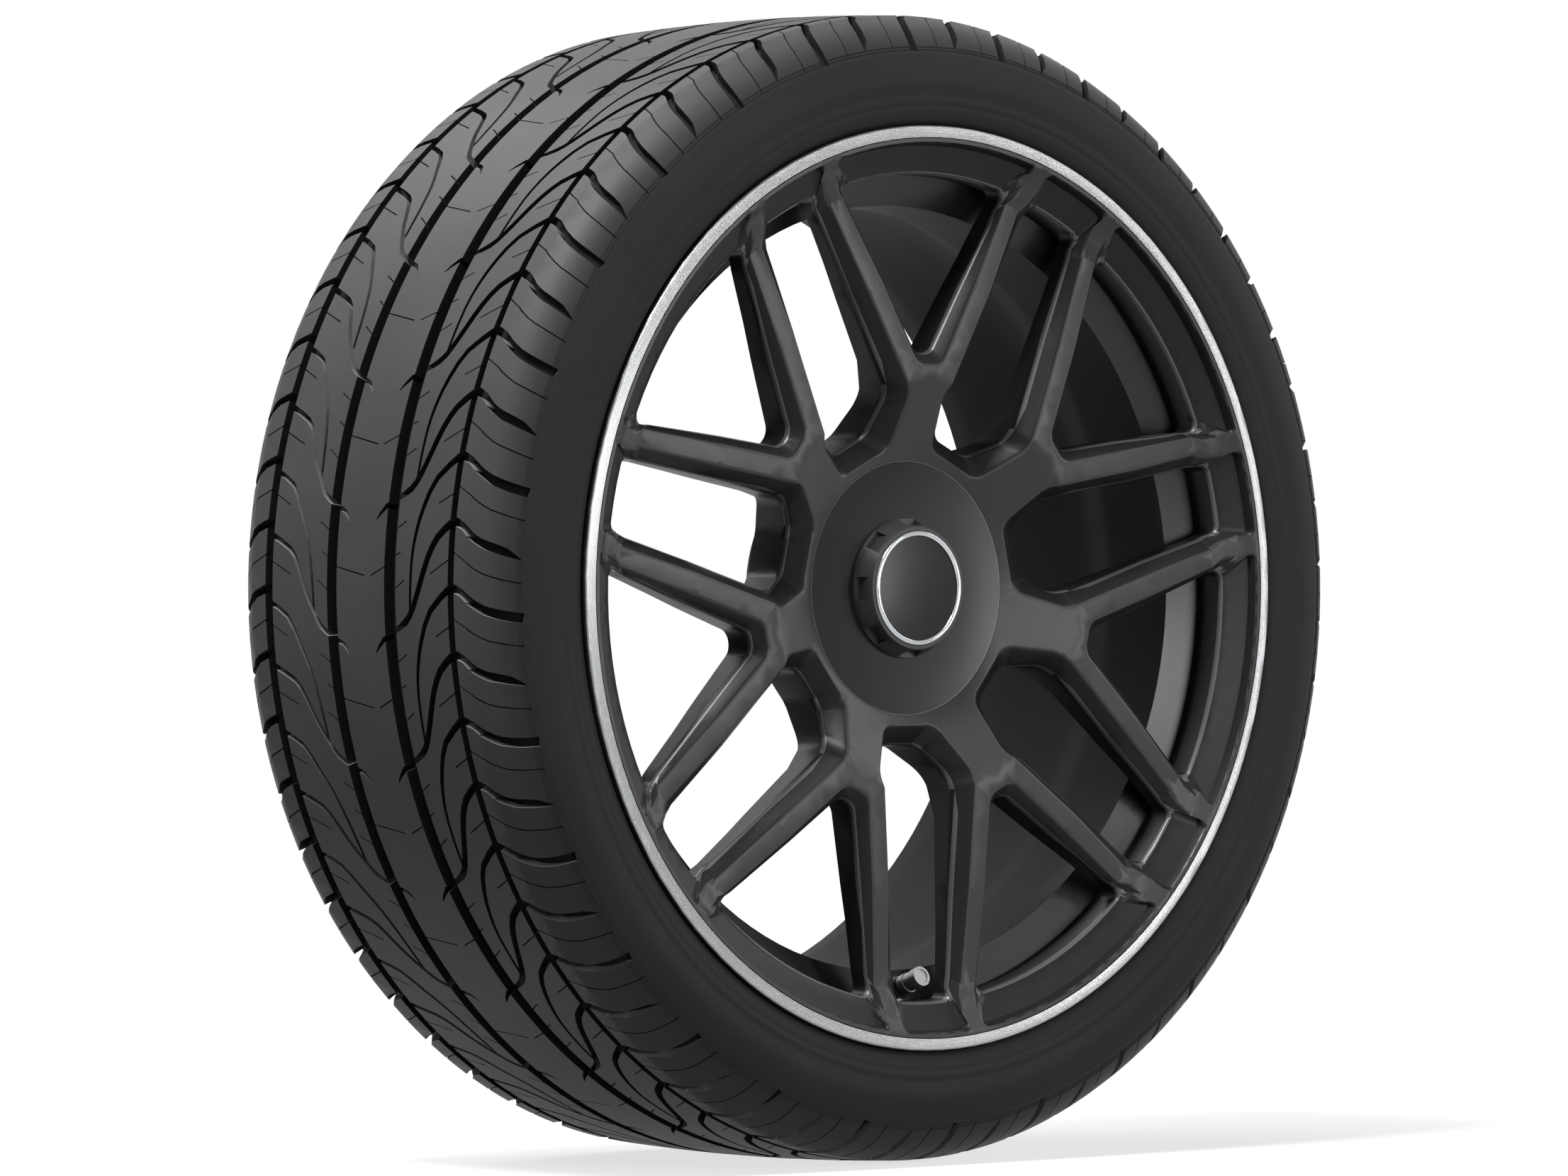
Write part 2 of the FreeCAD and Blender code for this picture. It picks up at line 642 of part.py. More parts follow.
def tyre_side(side):
    """Outer profile of one sidewall, from the shoulder to the bead toe."""
    gap_round = FLANGE_ROUND + BEAD_GAP
    round_y = side * (FLANGE_Y + FLANGE_ROUND)
    round_r = LIP_R - FLANGE_ROUND
    heel_y = side * (FLANGE_Y - HEEL_ROUND)
    heel_r = BEAD_SEAT_R + HEEL_ROUND
    heel_round = HEEL_ROUND - BEAD_GAP
    shoulder_r = TYRE_R - SHOULDER_DROP
    upper_r = (shoulder_r + SECTION_R) / 2 + 2.0
    upper_y = side * (SHOULDER_HALF_WIDTH + 0.72 * (SECTION_HALF_WIDTH - SHOULDER_HALF_WIDTH))
    rib_y = side * (SECTION_HALF_WIDTH - 0.8)
    return [
        (shoulder_r, side * SHOULDER_HALF_WIDTH),
        ((upper_r, upper_y), (SECTION_R, side * SECTION_HALF_WIDTH)),
        (PROTECTOR_R + 6, side * (SECTION_HALF_WIDTH - 1.0)),
        (PROTECTOR_R + 3, rib_y),
        (PROTECTOR_R - 3, side * (SECTION_HALF_WIDTH - 2.0)),
        (LIP_R + 3.0, side * (LIP_Y - 2.0)),
        (LIP_R + BEAD_GAP, round_y),
        on_circle(round_r, round_y, gap_round, -45 * side),
        (round_r, side * (FLANGE_Y - BEAD_GAP)),
        (heel_r, side * (FLANGE_Y - BEAD_GAP)),
        on_circle(heel_r, heel_y, heel_round, 180 - 45 * side),
        (BEAD_SEAT_R + BEAD_GAP, heel_y),
        (SEAT_TOE_R + BEAD_GAP, side * SEAT_TOE_Y),
    ]


def tyre_inside(side):
    """Cavity profile from the bead toe up one sidewall to the liner under the tread."""
    inner_r = TYRE_R - TREAD_THICKNESS
    wall_y = side * (SECTION_HALF_WIDTH - SIDEWALL_THICKNESS)
    toe_y = side * SEAT_TOE_Y
    return [
        (SEAT_TOE_R + 6.0, toe_y),
        (SEAT_TOE_R + 26.0, side * (FLANGE_Y - 3.0)),
        (SECTION_R, wall_y),
        ((inner_r - 7.0, side * (SHOULDER_HALF_WIDTH + 3.0)), (inner_r - 0.8, side * (SHOULDER_HALF_WIDTH - 15.0))),
    ]


def groove_cutter(path):
    """Cross groove as a prism on the plane that touches the tread at the groove's middle."""
    middle = (path[0][1] + path[-1][1]) / 2
    floor = TYRE_R - GROOVE_DEPTH
    places = [Vector(TYRE_R * math.sin(math.radians(turn - middle)), y, floor) for y, turn, width in path]
    left = []
    right = []
    for index, place in enumerate(places):
        ahead = places[min(index + 1, len(places) - 1)] - places[max(index - 1, 0)]
        across = Vector(-ahead.y, ahead.x, 0).normalize() * (path[index][2] / 2)
        left.append(place + across)
        right.append(place - across)
    corners = left + right[::-1]
    cutter = Part.Face(Part.makePolygon(corners + corners[:1])).extrude(Vector(0, 0, GROOVE_DEPTH + 5))
    cutter.rotate(ORIGIN, AXLE, TREAD_PHASE + middle)
    return cutter


def shoulder_cutter(start_y, start_turn, end_y, end_turn):
    """Slab that cuts a groove across the shoulder and a little way down the sidewall."""
    side = 1 if end_y > 0 else -1
    middle = (start_turn + end_turn) / 2
    start = Vector(TYRE_R * math.sin(math.radians(start_turn - middle)), start_y, 0)
    run = Vector(TYRE_R * math.sin(math.radians(end_turn - middle)), end_y, 0) - start
    shoulder_r = TYRE_R - SHOULDER_DROP
    depth = SHOULDER_GROOVE_DEPTH
    reach_y = side * SHOULDER_HALF_WIDTH
    section = (
        (start_y, TYRE_R - depth - 1.0),
        (reach_y, shoulder_r - depth + 0.6),
        (reach_y + side * 7.0, shoulder_r - 8.6),
        (reach_y + side * 12.0, shoulder_r - 2.0),
        (reach_y + side * 12.0, TYRE_R + 5),
        (start_y, TYRE_R + 5),
    )
    across = Vector(-run.y, run.x, 0).normalize() * (SHOULDER_GROOVE_WIDTH / 2)
    corners = []
    for y, z in section:
        corners.append(start + run * ((y - start_y) / (end_y - start_y)) - across + Vector(0, 0, z))
    slab = Part.Face(Part.makePolygon(corners + corners[:1])).extrude(across * 2)
    slab.rotate(ORIGIN, AXLE, TREAD_PHASE + middle)
    return slab


def cross_cutters():
    cutters = []
    for path in CROSS_GROOVES:
        cutters += spun(groove_cutter(path), TREAD_PITCHES)
    for ends in SHOULDER_GROOVES:
        cutters += spun(shoulder_cutter(*ends), TREAD_PITCHES)
    return cutters


def tyre():
    shoulder = (TYRE_R - TREAD_DROP, TREAD_HALF_WIDTH)
    left_wall = reversed_profile(tyre_side(-1))
    profile = left_wall
    profile += [
        (shoulder[0], -shoulder[1]),
        ((TYRE_R, 0), shoulder),
    ]
    profile += tyre_side(1)
    profile += tyre_inside(1)
    inner_end = tyre_inside(-1)
    profile += [((TYRE_R - TREAD_THICKNESS, 0), inner_end[-1][1])]
    profile += reversed_profile(inner_end)[1:]
    body = turned(profile)
    grooves = []
    for low, high in GROOVE_EDGES:
        middle = (low + high) / 2
        crown = TYRE_R - TREAD_DROP * (middle / TREAD_HALF_WIDTH) ** 2
        grooves.append(ring(crown - GROOVE_DEPTH, TYRE_R + 5, low, high))
    return body.cut(grooves + cross_cutters())


# Hub cap

def hub_cap():
    skirt_r = CAP_EDGE_R - CAP_CLEARANCE
    nut_base_y = CAP_EDGE_Y + CAP_DISH
    nut_top_y = nut_base_y - NUT_HEIGHT
    recess_y = nut_top_y + CAP_RECESS_DEPTH
    sleeve_r = CAP_THREAD_R - CAP_THREAD_CLEARANCE
    sleeve_in = sleeve_r - CAP_SLEEVE_WALL
    sleeve_end_y = BORE_SHOULDER_Y - CAP_SLEEVE_TIP
    seal_top_y = BOSS_TOP_Y - CAP_SEAL_THICKNESS - 2 * SEAT_GAP
    collar_r = CAP_SEAL_R + 1.0
    dish_r = (skirt_r + NUT_BASE_R) / 2
    back_y = CAP_EDGE_Y + CAP_WALL
    profile = [
        (sleeve_in, sleeve_end_y),
        (sleeve_in, recess_y + CAP_WALL),
        (0, recess_y + CAP_WALL),
        (0, recess_y),
        (CAP_RING_R, recess_y),
        (CAP_RING_R, nut_top_y),
        (NUT_TOP_R, nut_top_y),
        (NUT_BASE_R, nut_base_y - 1.5),
        (NUT_BASE_R, nut_base_y),
        ((dish_r, nut_base_y - 0.35 * CAP_DISH), (skirt_r, CAP_EDGE_Y)),
        (skirt_r, CAP_SEAT_Y - SEAT_GAP),
        (skirt_r - CAP_WALL, CAP_SEAT_Y - SEAT_GAP),
        (skirt_r - CAP_WALL, back_y + 1.0),
        (NUT_BASE_R, back_y + CAP_DISH),
        (collar_r, back_y + CAP_DISH),
        (collar_r, seal_top_y),
        (sleeve_r, seal_top_y),
        (sleeve_r, sleeve_end_y),
    ]
    cap = turned(profile)
    floor_y = nut_base_y - NUT_NOTCH_FLOOR
    notch = Part.makeBox(NUT_NOTCH_WIDTH, NUT_HEIGHT, 2 * NUT_NOTCH_DEPTH)
    notch.translate(Vector(-NUT_NOTCH_WIDTH / 2, floor_y - NUT_HEIGHT, NUT_BASE_R - NUT_NOTCH_DEPTH))
    return cap.cut(spun(notch, NUT_NOTCHES))


def hub_cap_ring():
    floor_y = CAP_EDGE_Y + CAP_DISH - NUT_HEIGHT + CAP_RECESS_DEPTH
    outer = CAP_RING_R - SEAT_GAP
    inner = CAP_RING_R - CAP_RING_WIDTH
    top_y = floor_y - CAP_RECESS_DEPTH - CAP_RING_PROUD
    side_y = floor_y - CAP_RECESS_DEPTH
    crest = ((outer + inner) / 2, top_y)
    return turned([(inner, floor_y), (outer, floor_y), (outer, side_y), (crest, (inner, side_y))])


def hub_cap_badge():
    floor_y = CAP_EDGE_Y + CAP_DISH - NUT_HEIGHT + CAP_RECESS_DEPTH
    rim_r = CAP_RING_R - CAP_RING_WIDTH - SEAT_GAP
    edge_y = floor_y - BADGE_THICKNESS
    crown_y = edge_y - BADGE_CROWN
    dome_r = (rim_r ** 2 + BADGE_CROWN ** 2) / (2 * BADGE_CROWN)
    half_way = (rim_r / 2, crown_y + dome_r - math.sqrt(dome_r ** 2 - rim_r ** 2 / 4))
    return turned([(0, floor_y), (rim_r, floor_y), (rim_r, edge_y), (half_way, (0, crown_y))])


def hub_cap_seal():
    high_y = BOSS_TOP_Y - SEAT_GAP
    return ring(CAP_THREAD_R + SEAT_GAP, CAP_SEAL_R, high_y - CAP_SEAL_THICKNESS, high_y)


# Valve pieces, built along +Z with zero at the flat seat in the front of the rim's wall, then set in place

def valve_place():
    turn = FreeCAD.Rotation(Vector(1, 0, 0), 90 - VALVE_TILT)
    sink = turn.multVec(Vector(0, 0, -VALVE_SEAT_DEPTH))
    return FreeCAD.Placement(Vector(0, well_wall_y(VALVE_R), -VALVE_R) + sink, turn)


def on_valve(shape):
    placed = shape.copy()
    placed.Placement = valve_place().multiply(shape.Placement)
    return placed


def tube(outer_r, inner_r, low, high):
    body = Part.makeCylinder(outer_r, high - low, Vector(0, 0, low))
    if inner_r:
        body = body.cut(Part.makeCylinder(inner_r, high - low + 2, Vector(0, 0, low - 1)))
    return body


WALL_BACK = VALVE_SEAT_DEPTH - RIM_WALL - SEAT_GAP
GROMMET_LOW = WALL_BACK - GROMMET_FLANGE
HEAD_LOW = GROMMET_LOW - SEAT_GAP - STEM_HEAD_THICKNESS
TAIL_LOW = HEAD_LOW - STEM_TAIL_LENGTH
BOSS_LOW = TAIL_LOW - SEAT_GAP - SENSOR_BOSS_THICKNESS
CORE_TOP = STEM_TIP - CORE_BELOW_TIP
CORE_LOW = CORE_TOP - CORE_LENGTH
PIN_TOP = STEM_TIP - PIN_BELOW_TIP
PIN_LOW = CORE_LOW - PIN_TAIL
CAP_LOW = STEM_TIP + SEAT_GAP + VALVE_SEAL_THICKNESS + SEAT_GAP + VALVE_CAP_ROOF - VALVE_CAP_LENGTH


def valve_stem():
    plain_top = SEAT_GAP + WASHER_THICKNESS + SEAT_GAP + NUT_THICKNESS
    body = tube(STEM_R, 0, HEAD_LOW, plain_top)
    body = body.fuse(tube(STEM_THREAD_R, 0, plain_top, STEM_TIP))
    body = body.fuse(tube(STEM_HEAD_R, 0, HEAD_LOW, HEAD_LOW + STEM_HEAD_THICKNESS))
    body = body.fuse(tube(STEM_TAIL_R, 0, TAIL_LOW, HEAD_LOW))
    bore_low = PIN_LOW - 3 * PIN_CUP_HEIGHT
    body = body.cut(tube(STEM_BORE_R, 0, bore_low, STEM_TIP + 1))
    body = body.cut(tube(STEM_TAP_R, 0, TAIL_LOW - 1, TAIL_LOW + STEM_TAP_DEPTH))
    air_way = tube(CORE_HOLE_R, 0, TAIL_LOW, bore_low + 1)
    return on_valve(body.cut(air_way).removeSplitter())


def valve_grommet():
    sleeve = tube(VALVE_HOLE_R - SEAT_GAP, STEM_R + SEAT_GAP, WALL_BACK, -SEAT_GAP)
    flange = tube(GROMMET_R, STEM_R + SEAT_GAP, GROMMET_LOW, WALL_BACK)
    return on_valve(sleeve.fuse(flange).removeSplitter())


def valve_washer():
    return on_valve(tube(WASHER_R, STEM_R + STEM_CLEARANCE, SEAT_GAP, SEAT_GAP + WASHER_THICKNESS))


def valve_nut():
    low = SEAT_GAP + WASHER_THICKNESS + SEAT_GAP
    corner_r = NUT_FLATS / math.sqrt(3)
    corners = [Vector(corner_r * math.cos(k * math.pi / 3), corner_r * math.sin(k * math.pi / 3), low) for k in range(7)]
    hexagon = Part.Face(Part.makePolygon(corners)).extrude(Vector(0, 0, NUT_THICKNESS))
    dome = Part.makeCone(corner_r + NUT_THICKNESS, NUT_FLATS / 2 - 0.5, 2 * NUT_THICKNESS, Vector(0, 0, low - NUT_THICKNESS))
    nut = hexagon.common(dome)
    return on_valve(nut.cut(tube(STEM_R + STEM_CLEARANCE, 0, low - 1, low + NUT_THICKNESS + 1)))


def valve_core_body():
    return on_valve(tube(STEM_BORE_R - SEAT_GAP, CORE_HOLE_R, CORE_LOW, CORE_TOP))


def valve_core_pin():
    rod = tube(PIN_R, 0, PIN_LOW, PIN_TOP)
    cup_high = CORE_LOW - PIN_CUP_GAP
    cup = tube(PIN_CUP_R, 0, cup_high - PIN_CUP_HEIGHT, cup_high)
    return on_valve(rod.fuse(cup).removeSplitter())


def valve_core_spring():
    """Coil of six-sided wire as a loft through sections round the helix."""
    low = CORE_LOW - PIN_CUP_GAP - PIN_CUP_HEIGHT - SPRING_WIRE_R - SEAT_GAP - SPRING_LENGTH
    hexagon = [(math.cos(k * math.pi / 3), math.sin(k * math.pi / 3)) for k in range(7)]
    count = round(SPRING_SECTIONS * SPRING_LENGTH / SPRING_PITCH)
    sections = []
    for index in range(count + 1):
        turn = 2 * math.pi * index / SPRING_SECTIONS
        height = low + SPRING_PITCH * index / SPRING_SECTIONS
        corners = []
        for out, up in hexagon:
            reach = SPRING_R + SPRING_WIRE_R * out
            corners.append(Vector(reach * math.cos(turn), reach * math.sin(turn), height + SPRING_WIRE_R * up))
        sections.append(Part.makePolygon(corners))
    return on_valve(Part.makeLoft(sections, True, True))


def valve_cap():
    top = CAP_LOW + VALVE_CAP_LENGTH
    body = tube(VALVE_CAP_NECK_R, 0, CAP_LOW, top)
    body = body.fuse(tube(VALVE_CAP_R, 0, top - VALVE_CAP_COLLAR, top))
    body = body.fuse(tube(VALVE_CAP_R, 0, CAP_LOW, CAP_LOW + VALVE_CAP_COLLAR))
    body = body.cut(tube(STEM_THREAD_R + VALVE_CAP_THREAD_CLEARANCE, 0, CAP_LOW - 1, top - VALVE_CAP_ROOF))
    body = body.cut(tube(VALVE_CAP_DISH_R, 0, top - VALVE_CAP_DISH_DEPTH, top + 1))
    return on_valve(body.removeSplitter())


def valve_cap_seal():
    low = STEM_TIP + SEAT_GAP
    outer = STEM_THREAD_R + VALVE_CAP_THREAD_CLEARANCE - SEAT_GAP
    return on_valve(tube(outer, VALVE_SEAL_HOLE_R, low, low + VALVE_SEAL_THICKNESS))


def pressure_sensor():
    boss = on_valve(tube(SENSOR_BOSS_R, 0, BOSS_LOW, BOSS_LOW + SENSOR_BOSS_THICKNESS))
    start_y = boss.BoundBox.Center.y
    foot_z = -(WELL_R + SENSOR_FOOT_GAP)
    corner = Vector(-SENSOR_LENGTH / 2, start_y, foot_z - SENSOR_HEIGHT)
    housing = Part.makeBox(SENSOR_LENGTH, SENSOR_WIDTH, SENSOR_HEIGHT, corner)
    housing = housing.makeFillet(SENSOR_ROUND, housing.Edges)
    access = on_valve(tube(SCREW_HEAD_R + SCREW_CLEARANCE, 0, BOSS_LOW - SENSOR_WIDTH, BOSS_LOW))
    clear = on_valve(tube(STEM_HEAD_R + SCREW_CLEARANCE, 0, BOSS_LOW + SENSOR_BOSS_THICKNESS, 0))
    hole = on_valve(tube(SCREW_R + SCREW_CLEARANCE, 0, BOSS_LOW - 1, BOSS_LOW + SENSOR_BOSS_THICKNESS + 1))
    return housing.fuse(boss).cut([access, clear, hole]).removeSplitter()


def sensor_screw():
    head = tube(SCREW_HEAD_R, 0, BOSS_LOW - SEAT_GAP - SCREW_HEAD_HEIGHT, BOSS_LOW - SEAT_GAP)
    shank = tube(SCREW_R, 0, BOSS_LOW - SEAT_GAP, TAIL_LOW + STEM_TAP_DEPTH - SCREW_TIP_GAP)
    return on_valve(head.fuse(shank).removeSplitter())


PIECES = (
    forged_wheel,
    tyre,
    hub_cap,
    hub_cap_ring,
    hub_cap_badge,
    hub_cap_seal,
    valve_stem,
    valve_grommet,
    valve_washer,
    valve_nut,
    valve_core_body,
    valve_core_pin,
    valve_core_spring,
    valve_cap,
    valve_cap_seal,
    pressure_sensor,
    sensor_screw,
)

os.makedirs("parts", exist_ok=True)
for piece in PIECES:
    shape = piece()
    print(piece.__name__, len(shape.Solids), shape.isValid(), round(shape.Volume), shape.BoundBox)
    shape.exportStep("parts/" + piece.__name__ + ".step")
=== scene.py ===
import json
import math

import bmesh
import bpy
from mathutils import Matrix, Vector, geometry


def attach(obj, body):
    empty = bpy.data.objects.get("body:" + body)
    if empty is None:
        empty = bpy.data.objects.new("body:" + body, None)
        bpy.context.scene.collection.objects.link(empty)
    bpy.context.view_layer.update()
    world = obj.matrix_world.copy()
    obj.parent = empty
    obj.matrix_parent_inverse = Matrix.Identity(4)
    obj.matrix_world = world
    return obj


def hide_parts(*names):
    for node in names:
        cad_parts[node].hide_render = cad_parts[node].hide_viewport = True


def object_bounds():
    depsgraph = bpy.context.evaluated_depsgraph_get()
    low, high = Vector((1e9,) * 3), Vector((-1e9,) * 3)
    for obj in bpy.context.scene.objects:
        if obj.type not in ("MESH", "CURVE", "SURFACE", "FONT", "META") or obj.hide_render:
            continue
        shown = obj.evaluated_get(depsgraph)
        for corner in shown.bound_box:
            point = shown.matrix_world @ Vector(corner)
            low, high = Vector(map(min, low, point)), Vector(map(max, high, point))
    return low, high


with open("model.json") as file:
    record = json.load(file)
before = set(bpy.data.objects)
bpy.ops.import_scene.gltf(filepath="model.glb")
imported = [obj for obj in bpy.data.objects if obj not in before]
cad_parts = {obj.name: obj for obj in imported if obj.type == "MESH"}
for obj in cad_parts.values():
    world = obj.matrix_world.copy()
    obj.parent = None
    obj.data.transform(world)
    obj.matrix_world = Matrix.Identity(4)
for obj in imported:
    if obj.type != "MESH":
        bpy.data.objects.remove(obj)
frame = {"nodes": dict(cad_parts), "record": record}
cad_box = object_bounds()
scene = bpy.context.scene

MM = 0.001
FULL_TURN = 2 * math.pi
WHITE = (1, 1, 1, 1)


# Shader nodes

def new_material(name):
    """Empty node material with its Principled shader, and the tree to build in."""
    material = bpy.data.materials.new(name)
    material.use_nodes = True
    tree = material.node_tree
    shader = tree.nodes["Principled BSDF"]
    return material, tree, shader


def add(tree, kind, **settings):
    """New node with its properties set by name."""
    node = tree.nodes.new(kind)
    for key, value in settings.items():
        setattr(node, key, value)
    return node


def put(node, **values):
    """Sets unlinked inputs by their names, with spaces written as underscores."""
    for key, value in values.items():
        node.inputs[key.replace("_", " ")].default_value = value
    return node


def math_node(tree, operation, *values):
    """Result of a math node; each value may be a socket or a plain number."""
    node = add(tree, "ShaderNodeMath", operation=operation)
    for socket, value in zip(node.inputs, values):
        if isinstance(value, (int, float)):
            socket.default_value = value
        else:
            tree.links.new(value, socket)
    return node.outputs[0]


CLOUD_LOW = 0.3
CLOUD_HIGH = 0.7


def clouded(tree, noise, low, high):
    """Blend from one colour to another over the middle range of a noise."""
    node = add(tree, "ShaderNodeValToRGB")
    node.color_ramp.elements[0].position = CLOUD_LOW
    node.color_ramp.elements[1].position = CLOUD_HIGH
    node.color_ramp.elements[0].color = (*low, 1)
    node.color_ramp.elements[1].color = (*high, 1)
    tree.links.new(noise, node.inputs["Fac"])
    return node.outputs["Color"]


def mixed(tree, factor, first, second):
    """Colour between two others; each may be a socket or a plain colour."""
    node = add(tree, "ShaderNodeMix", data_type="RGBA")
    sockets = [socket for socket in node.inputs if socket.enabled]
    for socket, value in zip(sockets, (factor, first, second)):
        if isinstance(value, tuple):
            socket.default_value = (*value, 1)
        else:
            tree.links.new(value, socket)
    return next(socket for socket in node.outputs if socket.enabled)


def grey(value):
    """Neutral colour."""
    return (value, value, value)


def axle_radius_group():
    """Shared shader group: a point's distance from the axle, in millimetres."""
    group = bpy.data.node_groups.new("Distance from axle", "ShaderNodeTree")
    group.interface.new_socket("Radius", in_out="OUTPUT", socket_type="NodeSocketFloat")
    coordinates = add(group, "ShaderNodeTexCoord")
    split = add(group, "ShaderNodeSeparateXYZ")
    group.links.new(coordinates.outputs["Object"], split.inputs[0])
    x_square = math_node(group, "POWER", split.outputs["X"], 2)
    z_square = math_node(group, "POWER", split.outputs["Z"], 2)
    radius = math_node(group, "SQRT", math_node(group, "ADD", x_square, z_square))
    end = add(group, "NodeGroupOutput")
    group.links.new(math_node(group, "MULTIPLY", radius, 1 / MM), end.inputs["Radius"])
    return group


AXLE_GROUP = axle_radius_group()


def grain_group():
    """Shared shader group: fine and coarse noise for colour, roughness and bump."""
    group = bpy.data.node_groups.new("Surface grain", "ShaderNodeTree")
    group.interface.new_socket("Fine scale", in_out="INPUT", socket_type="NodeSocketFloat")
    group.interface.new_socket("Bump", in_out="INPUT", socket_type="NodeSocketFloat")
    group.interface.new_socket("Cloud", in_out="OUTPUT", socket_type="NodeSocketFloat")
    group.interface.new_socket("Normal", in_out="OUTPUT", socket_type="NodeSocketVector")
    begin = add(group, "NodeGroupInput")
    end = add(group, "NodeGroupOutput")
    coordinates = add(group, "ShaderNodeTexCoord")
    fine = put(add(group, "ShaderNodeTexNoise"), Detail=3.0, Roughness=0.6)
    cloud = put(add(group, "ShaderNodeTexNoise"), Scale=14.0, Detail=4.0)
    bump = put(add(group, "ShaderNodeBump"), Distance=0.0004)
    group.links.new(begin.outputs["Fine scale"], fine.inputs["Scale"])
    group.links.new(coordinates.outputs["Object"], fine.inputs["Vector"])
    group.links.new(coordinates.outputs["Object"], cloud.inputs["Vector"])
    group.links.new(begin.outputs["Bump"], bump.inputs["Strength"])
    group.links.new(fine.outputs["Fac"], bump.inputs["Height"])
    group.links.new(cloud.outputs["Fac"], end.inputs["Cloud"])
    group.links.new(bump.outputs["Normal"], end.inputs["Normal"])
    return group


GRAIN_GROUP = grain_group()


def use_group(tree, group):
    """Node that stands for a shared group."""
    return add(tree, "ShaderNodeGroup", node_tree=group)


def lathe_rings(tree, pitch_mm):
    """Wave that goes up and down once each pitch away from the axle, and the radius it uses."""
    radius = use_group(tree, AXLE_GROUP).outputs["Radius"]
    turns = math_node(tree, "MULTIPLY", radius, FULL_TURN / pitch_mm)
    return math_node(tree, "SINE", turns), radius


# Materials

def grained(name, dark, light, rough, spread, scale, bump, metallic=0.0, specular=0.5):
    """Material with clouded colour and roughness and a fine bump."""
    material, tree, shader = new_material(name)
    put(shader, Metallic=metallic, Specular_IOR_Level=specular)
    grain = put(use_group(tree, GRAIN_GROUP), Fine_scale=scale, Bump=bump)
    cloud = grain.outputs["Cloud"]
    tree.links.new(clouded(tree, cloud, dark, light), shader.inputs["Base Color"])
    roughness = math_node(tree, "MULTIPLY_ADD", cloud, spread, rough - spread / 2)
    tree.links.new(roughness, shader.inputs["Roughness"])
    tree.links.new(grain.outputs["Normal"], shader.inputs["Normal"])
    return material


def turned_metal(name, colour, rough, pitch_mm, lighter=1.18, darker=0.72, spread=0.16):
    """Bare metal with the fine rings that a lathe tool leaves round the axle."""
    material, tree, shader = new_material(name)
    put(shader, Metallic=1.0)
    rings, radius = lathe_rings(tree, pitch_mm)
    bands = add(tree, "ShaderNodeTexNoise", noise_dimensions="1D")
    put(bands, Scale=3.2, Detail=5.0)
    tree.links.new(radius, bands.inputs["W"])
    light = tuple(min(1.0, lighter * part) for part in colour)
    dark = tuple(darker * part for part in colour)
    tree.links.new(clouded(tree, bands.outputs["Fac"], dark, light), shader.inputs["Base Color"])
    roughness = math_node(tree, "MULTIPLY_ADD", bands.outputs["Fac"], spread, rough - spread / 2)
    tree.links.new(roughness, shader.inputs["Roughness"])
    bump = put(add(tree, "ShaderNodeBump"), Strength=0.25, Distance=0.0001)
    tree.links.new(rings, bump.inputs["Height"])
    tree.links.new(bump.outputs["Normal"], shader.inputs["Normal"])
    return material


def painted_edge_highlight(material, start, colour):
    """Painted highlight: a pale hairline in a turned piece's colour, outside the given radius in
    millimetres, where its edge would catch the light.
    """
    tree = material.node_tree
    base = tree.nodes["Principled BSDF"].inputs["Base Color"]
    under = base.links[0].from_socket
    place = use_group(tree, AXLE_GROUP)
    line = math_node(tree, "GREATER_THAN", place.outputs["Radius"], start)
    tree.links.new(mixed(tree, line, under, colour), base)


RUBBER_WALL = (grey(0.008), grey(0.0105))
RUBBER_CROWN = (grey(0.026), grey(0.032))
# Painted shade: near-black colour for the groove floors, where shade falls.
RUBBER_GROOVE_FLOOR_SHADE = grey(0.004)
# Painted highlight: pale grey for the groove walls that face one way, as if they caught the light.
RUBBER_GROOVE_WALL_HIGHLIGHT = grey(0.16)
RUBBER_ROUGH = 0.56
RUBBER_ROUGH_TREAD = -0.08
RUBBER_ROUGH_GROOVE = 0.3
RUBBER_RING_PITCH = 1.1


def tyre_rubber():
    """Rubber whose tread, grooves and sidewall differ, by the attributes of the tyre's mesh, with painted
    shade on the groove floors and a painted highlight on some groove walls.
    """
    material, tree, shader = new_material("tyre_rubber_moulded")
    put(shader, Specular_IOR_Level=0.10)
    depth, tread, groove_wall_highlight = (
        add(tree, "ShaderNodeAttribute", attribute_name=name).outputs["Fac"]
        for name in ("depth", "tread", "groove_wall_highlight")
    )
    grain = put(use_group(tree, GRAIN_GROUP), Fine_scale=900, Bump=0.22)
    wall = clouded(tree, grain.outputs["Cloud"], *RUBBER_WALL)
    crown = clouded(tree, grain.outputs["Cloud"], *RUBBER_CROWN)
    tops = mixed(tree, tread, wall, crown)
    # Painted shade: groove floors and walls are painted darker the deeper they lie.
    shaded_cut = mixed(tree, depth, tops, RUBBER_GROOVE_FLOOR_SHADE)
    # Painted highlight: groove walls that face one way across the tread are painted pale.
    colour = mixed(tree, groove_wall_highlight, shaded_cut, RUBBER_GROOVE_WALL_HIGHLIGHT)
    tree.links.new(colour, shader.inputs["Base Color"])
    on_top = math_node(tree, "MULTIPLY_ADD", tread, RUBBER_ROUGH_TREAD, RUBBER_ROUGH)
    below = math_node(tree, "MULTIPLY", depth, RUBBER_ROUGH_GROOVE)
    tree.links.new(math_node(tree, "ADD", on_top, below), shader.inputs["Roughness"])
    rings, _ = lathe_rings(tree, RUBBER_RING_PITCH)
    fine = put(add(tree, "ShaderNodeBump"), Strength=0.05, Distance=0.00015)
    tree.links.new(rings, fine.inputs["Height"])
    tree.links.new(grain.outputs["Normal"], fine.inputs["Normal"])
    tree.links.new(fine.outputs["Normal"], shader.inputs["Normal"])
    return material


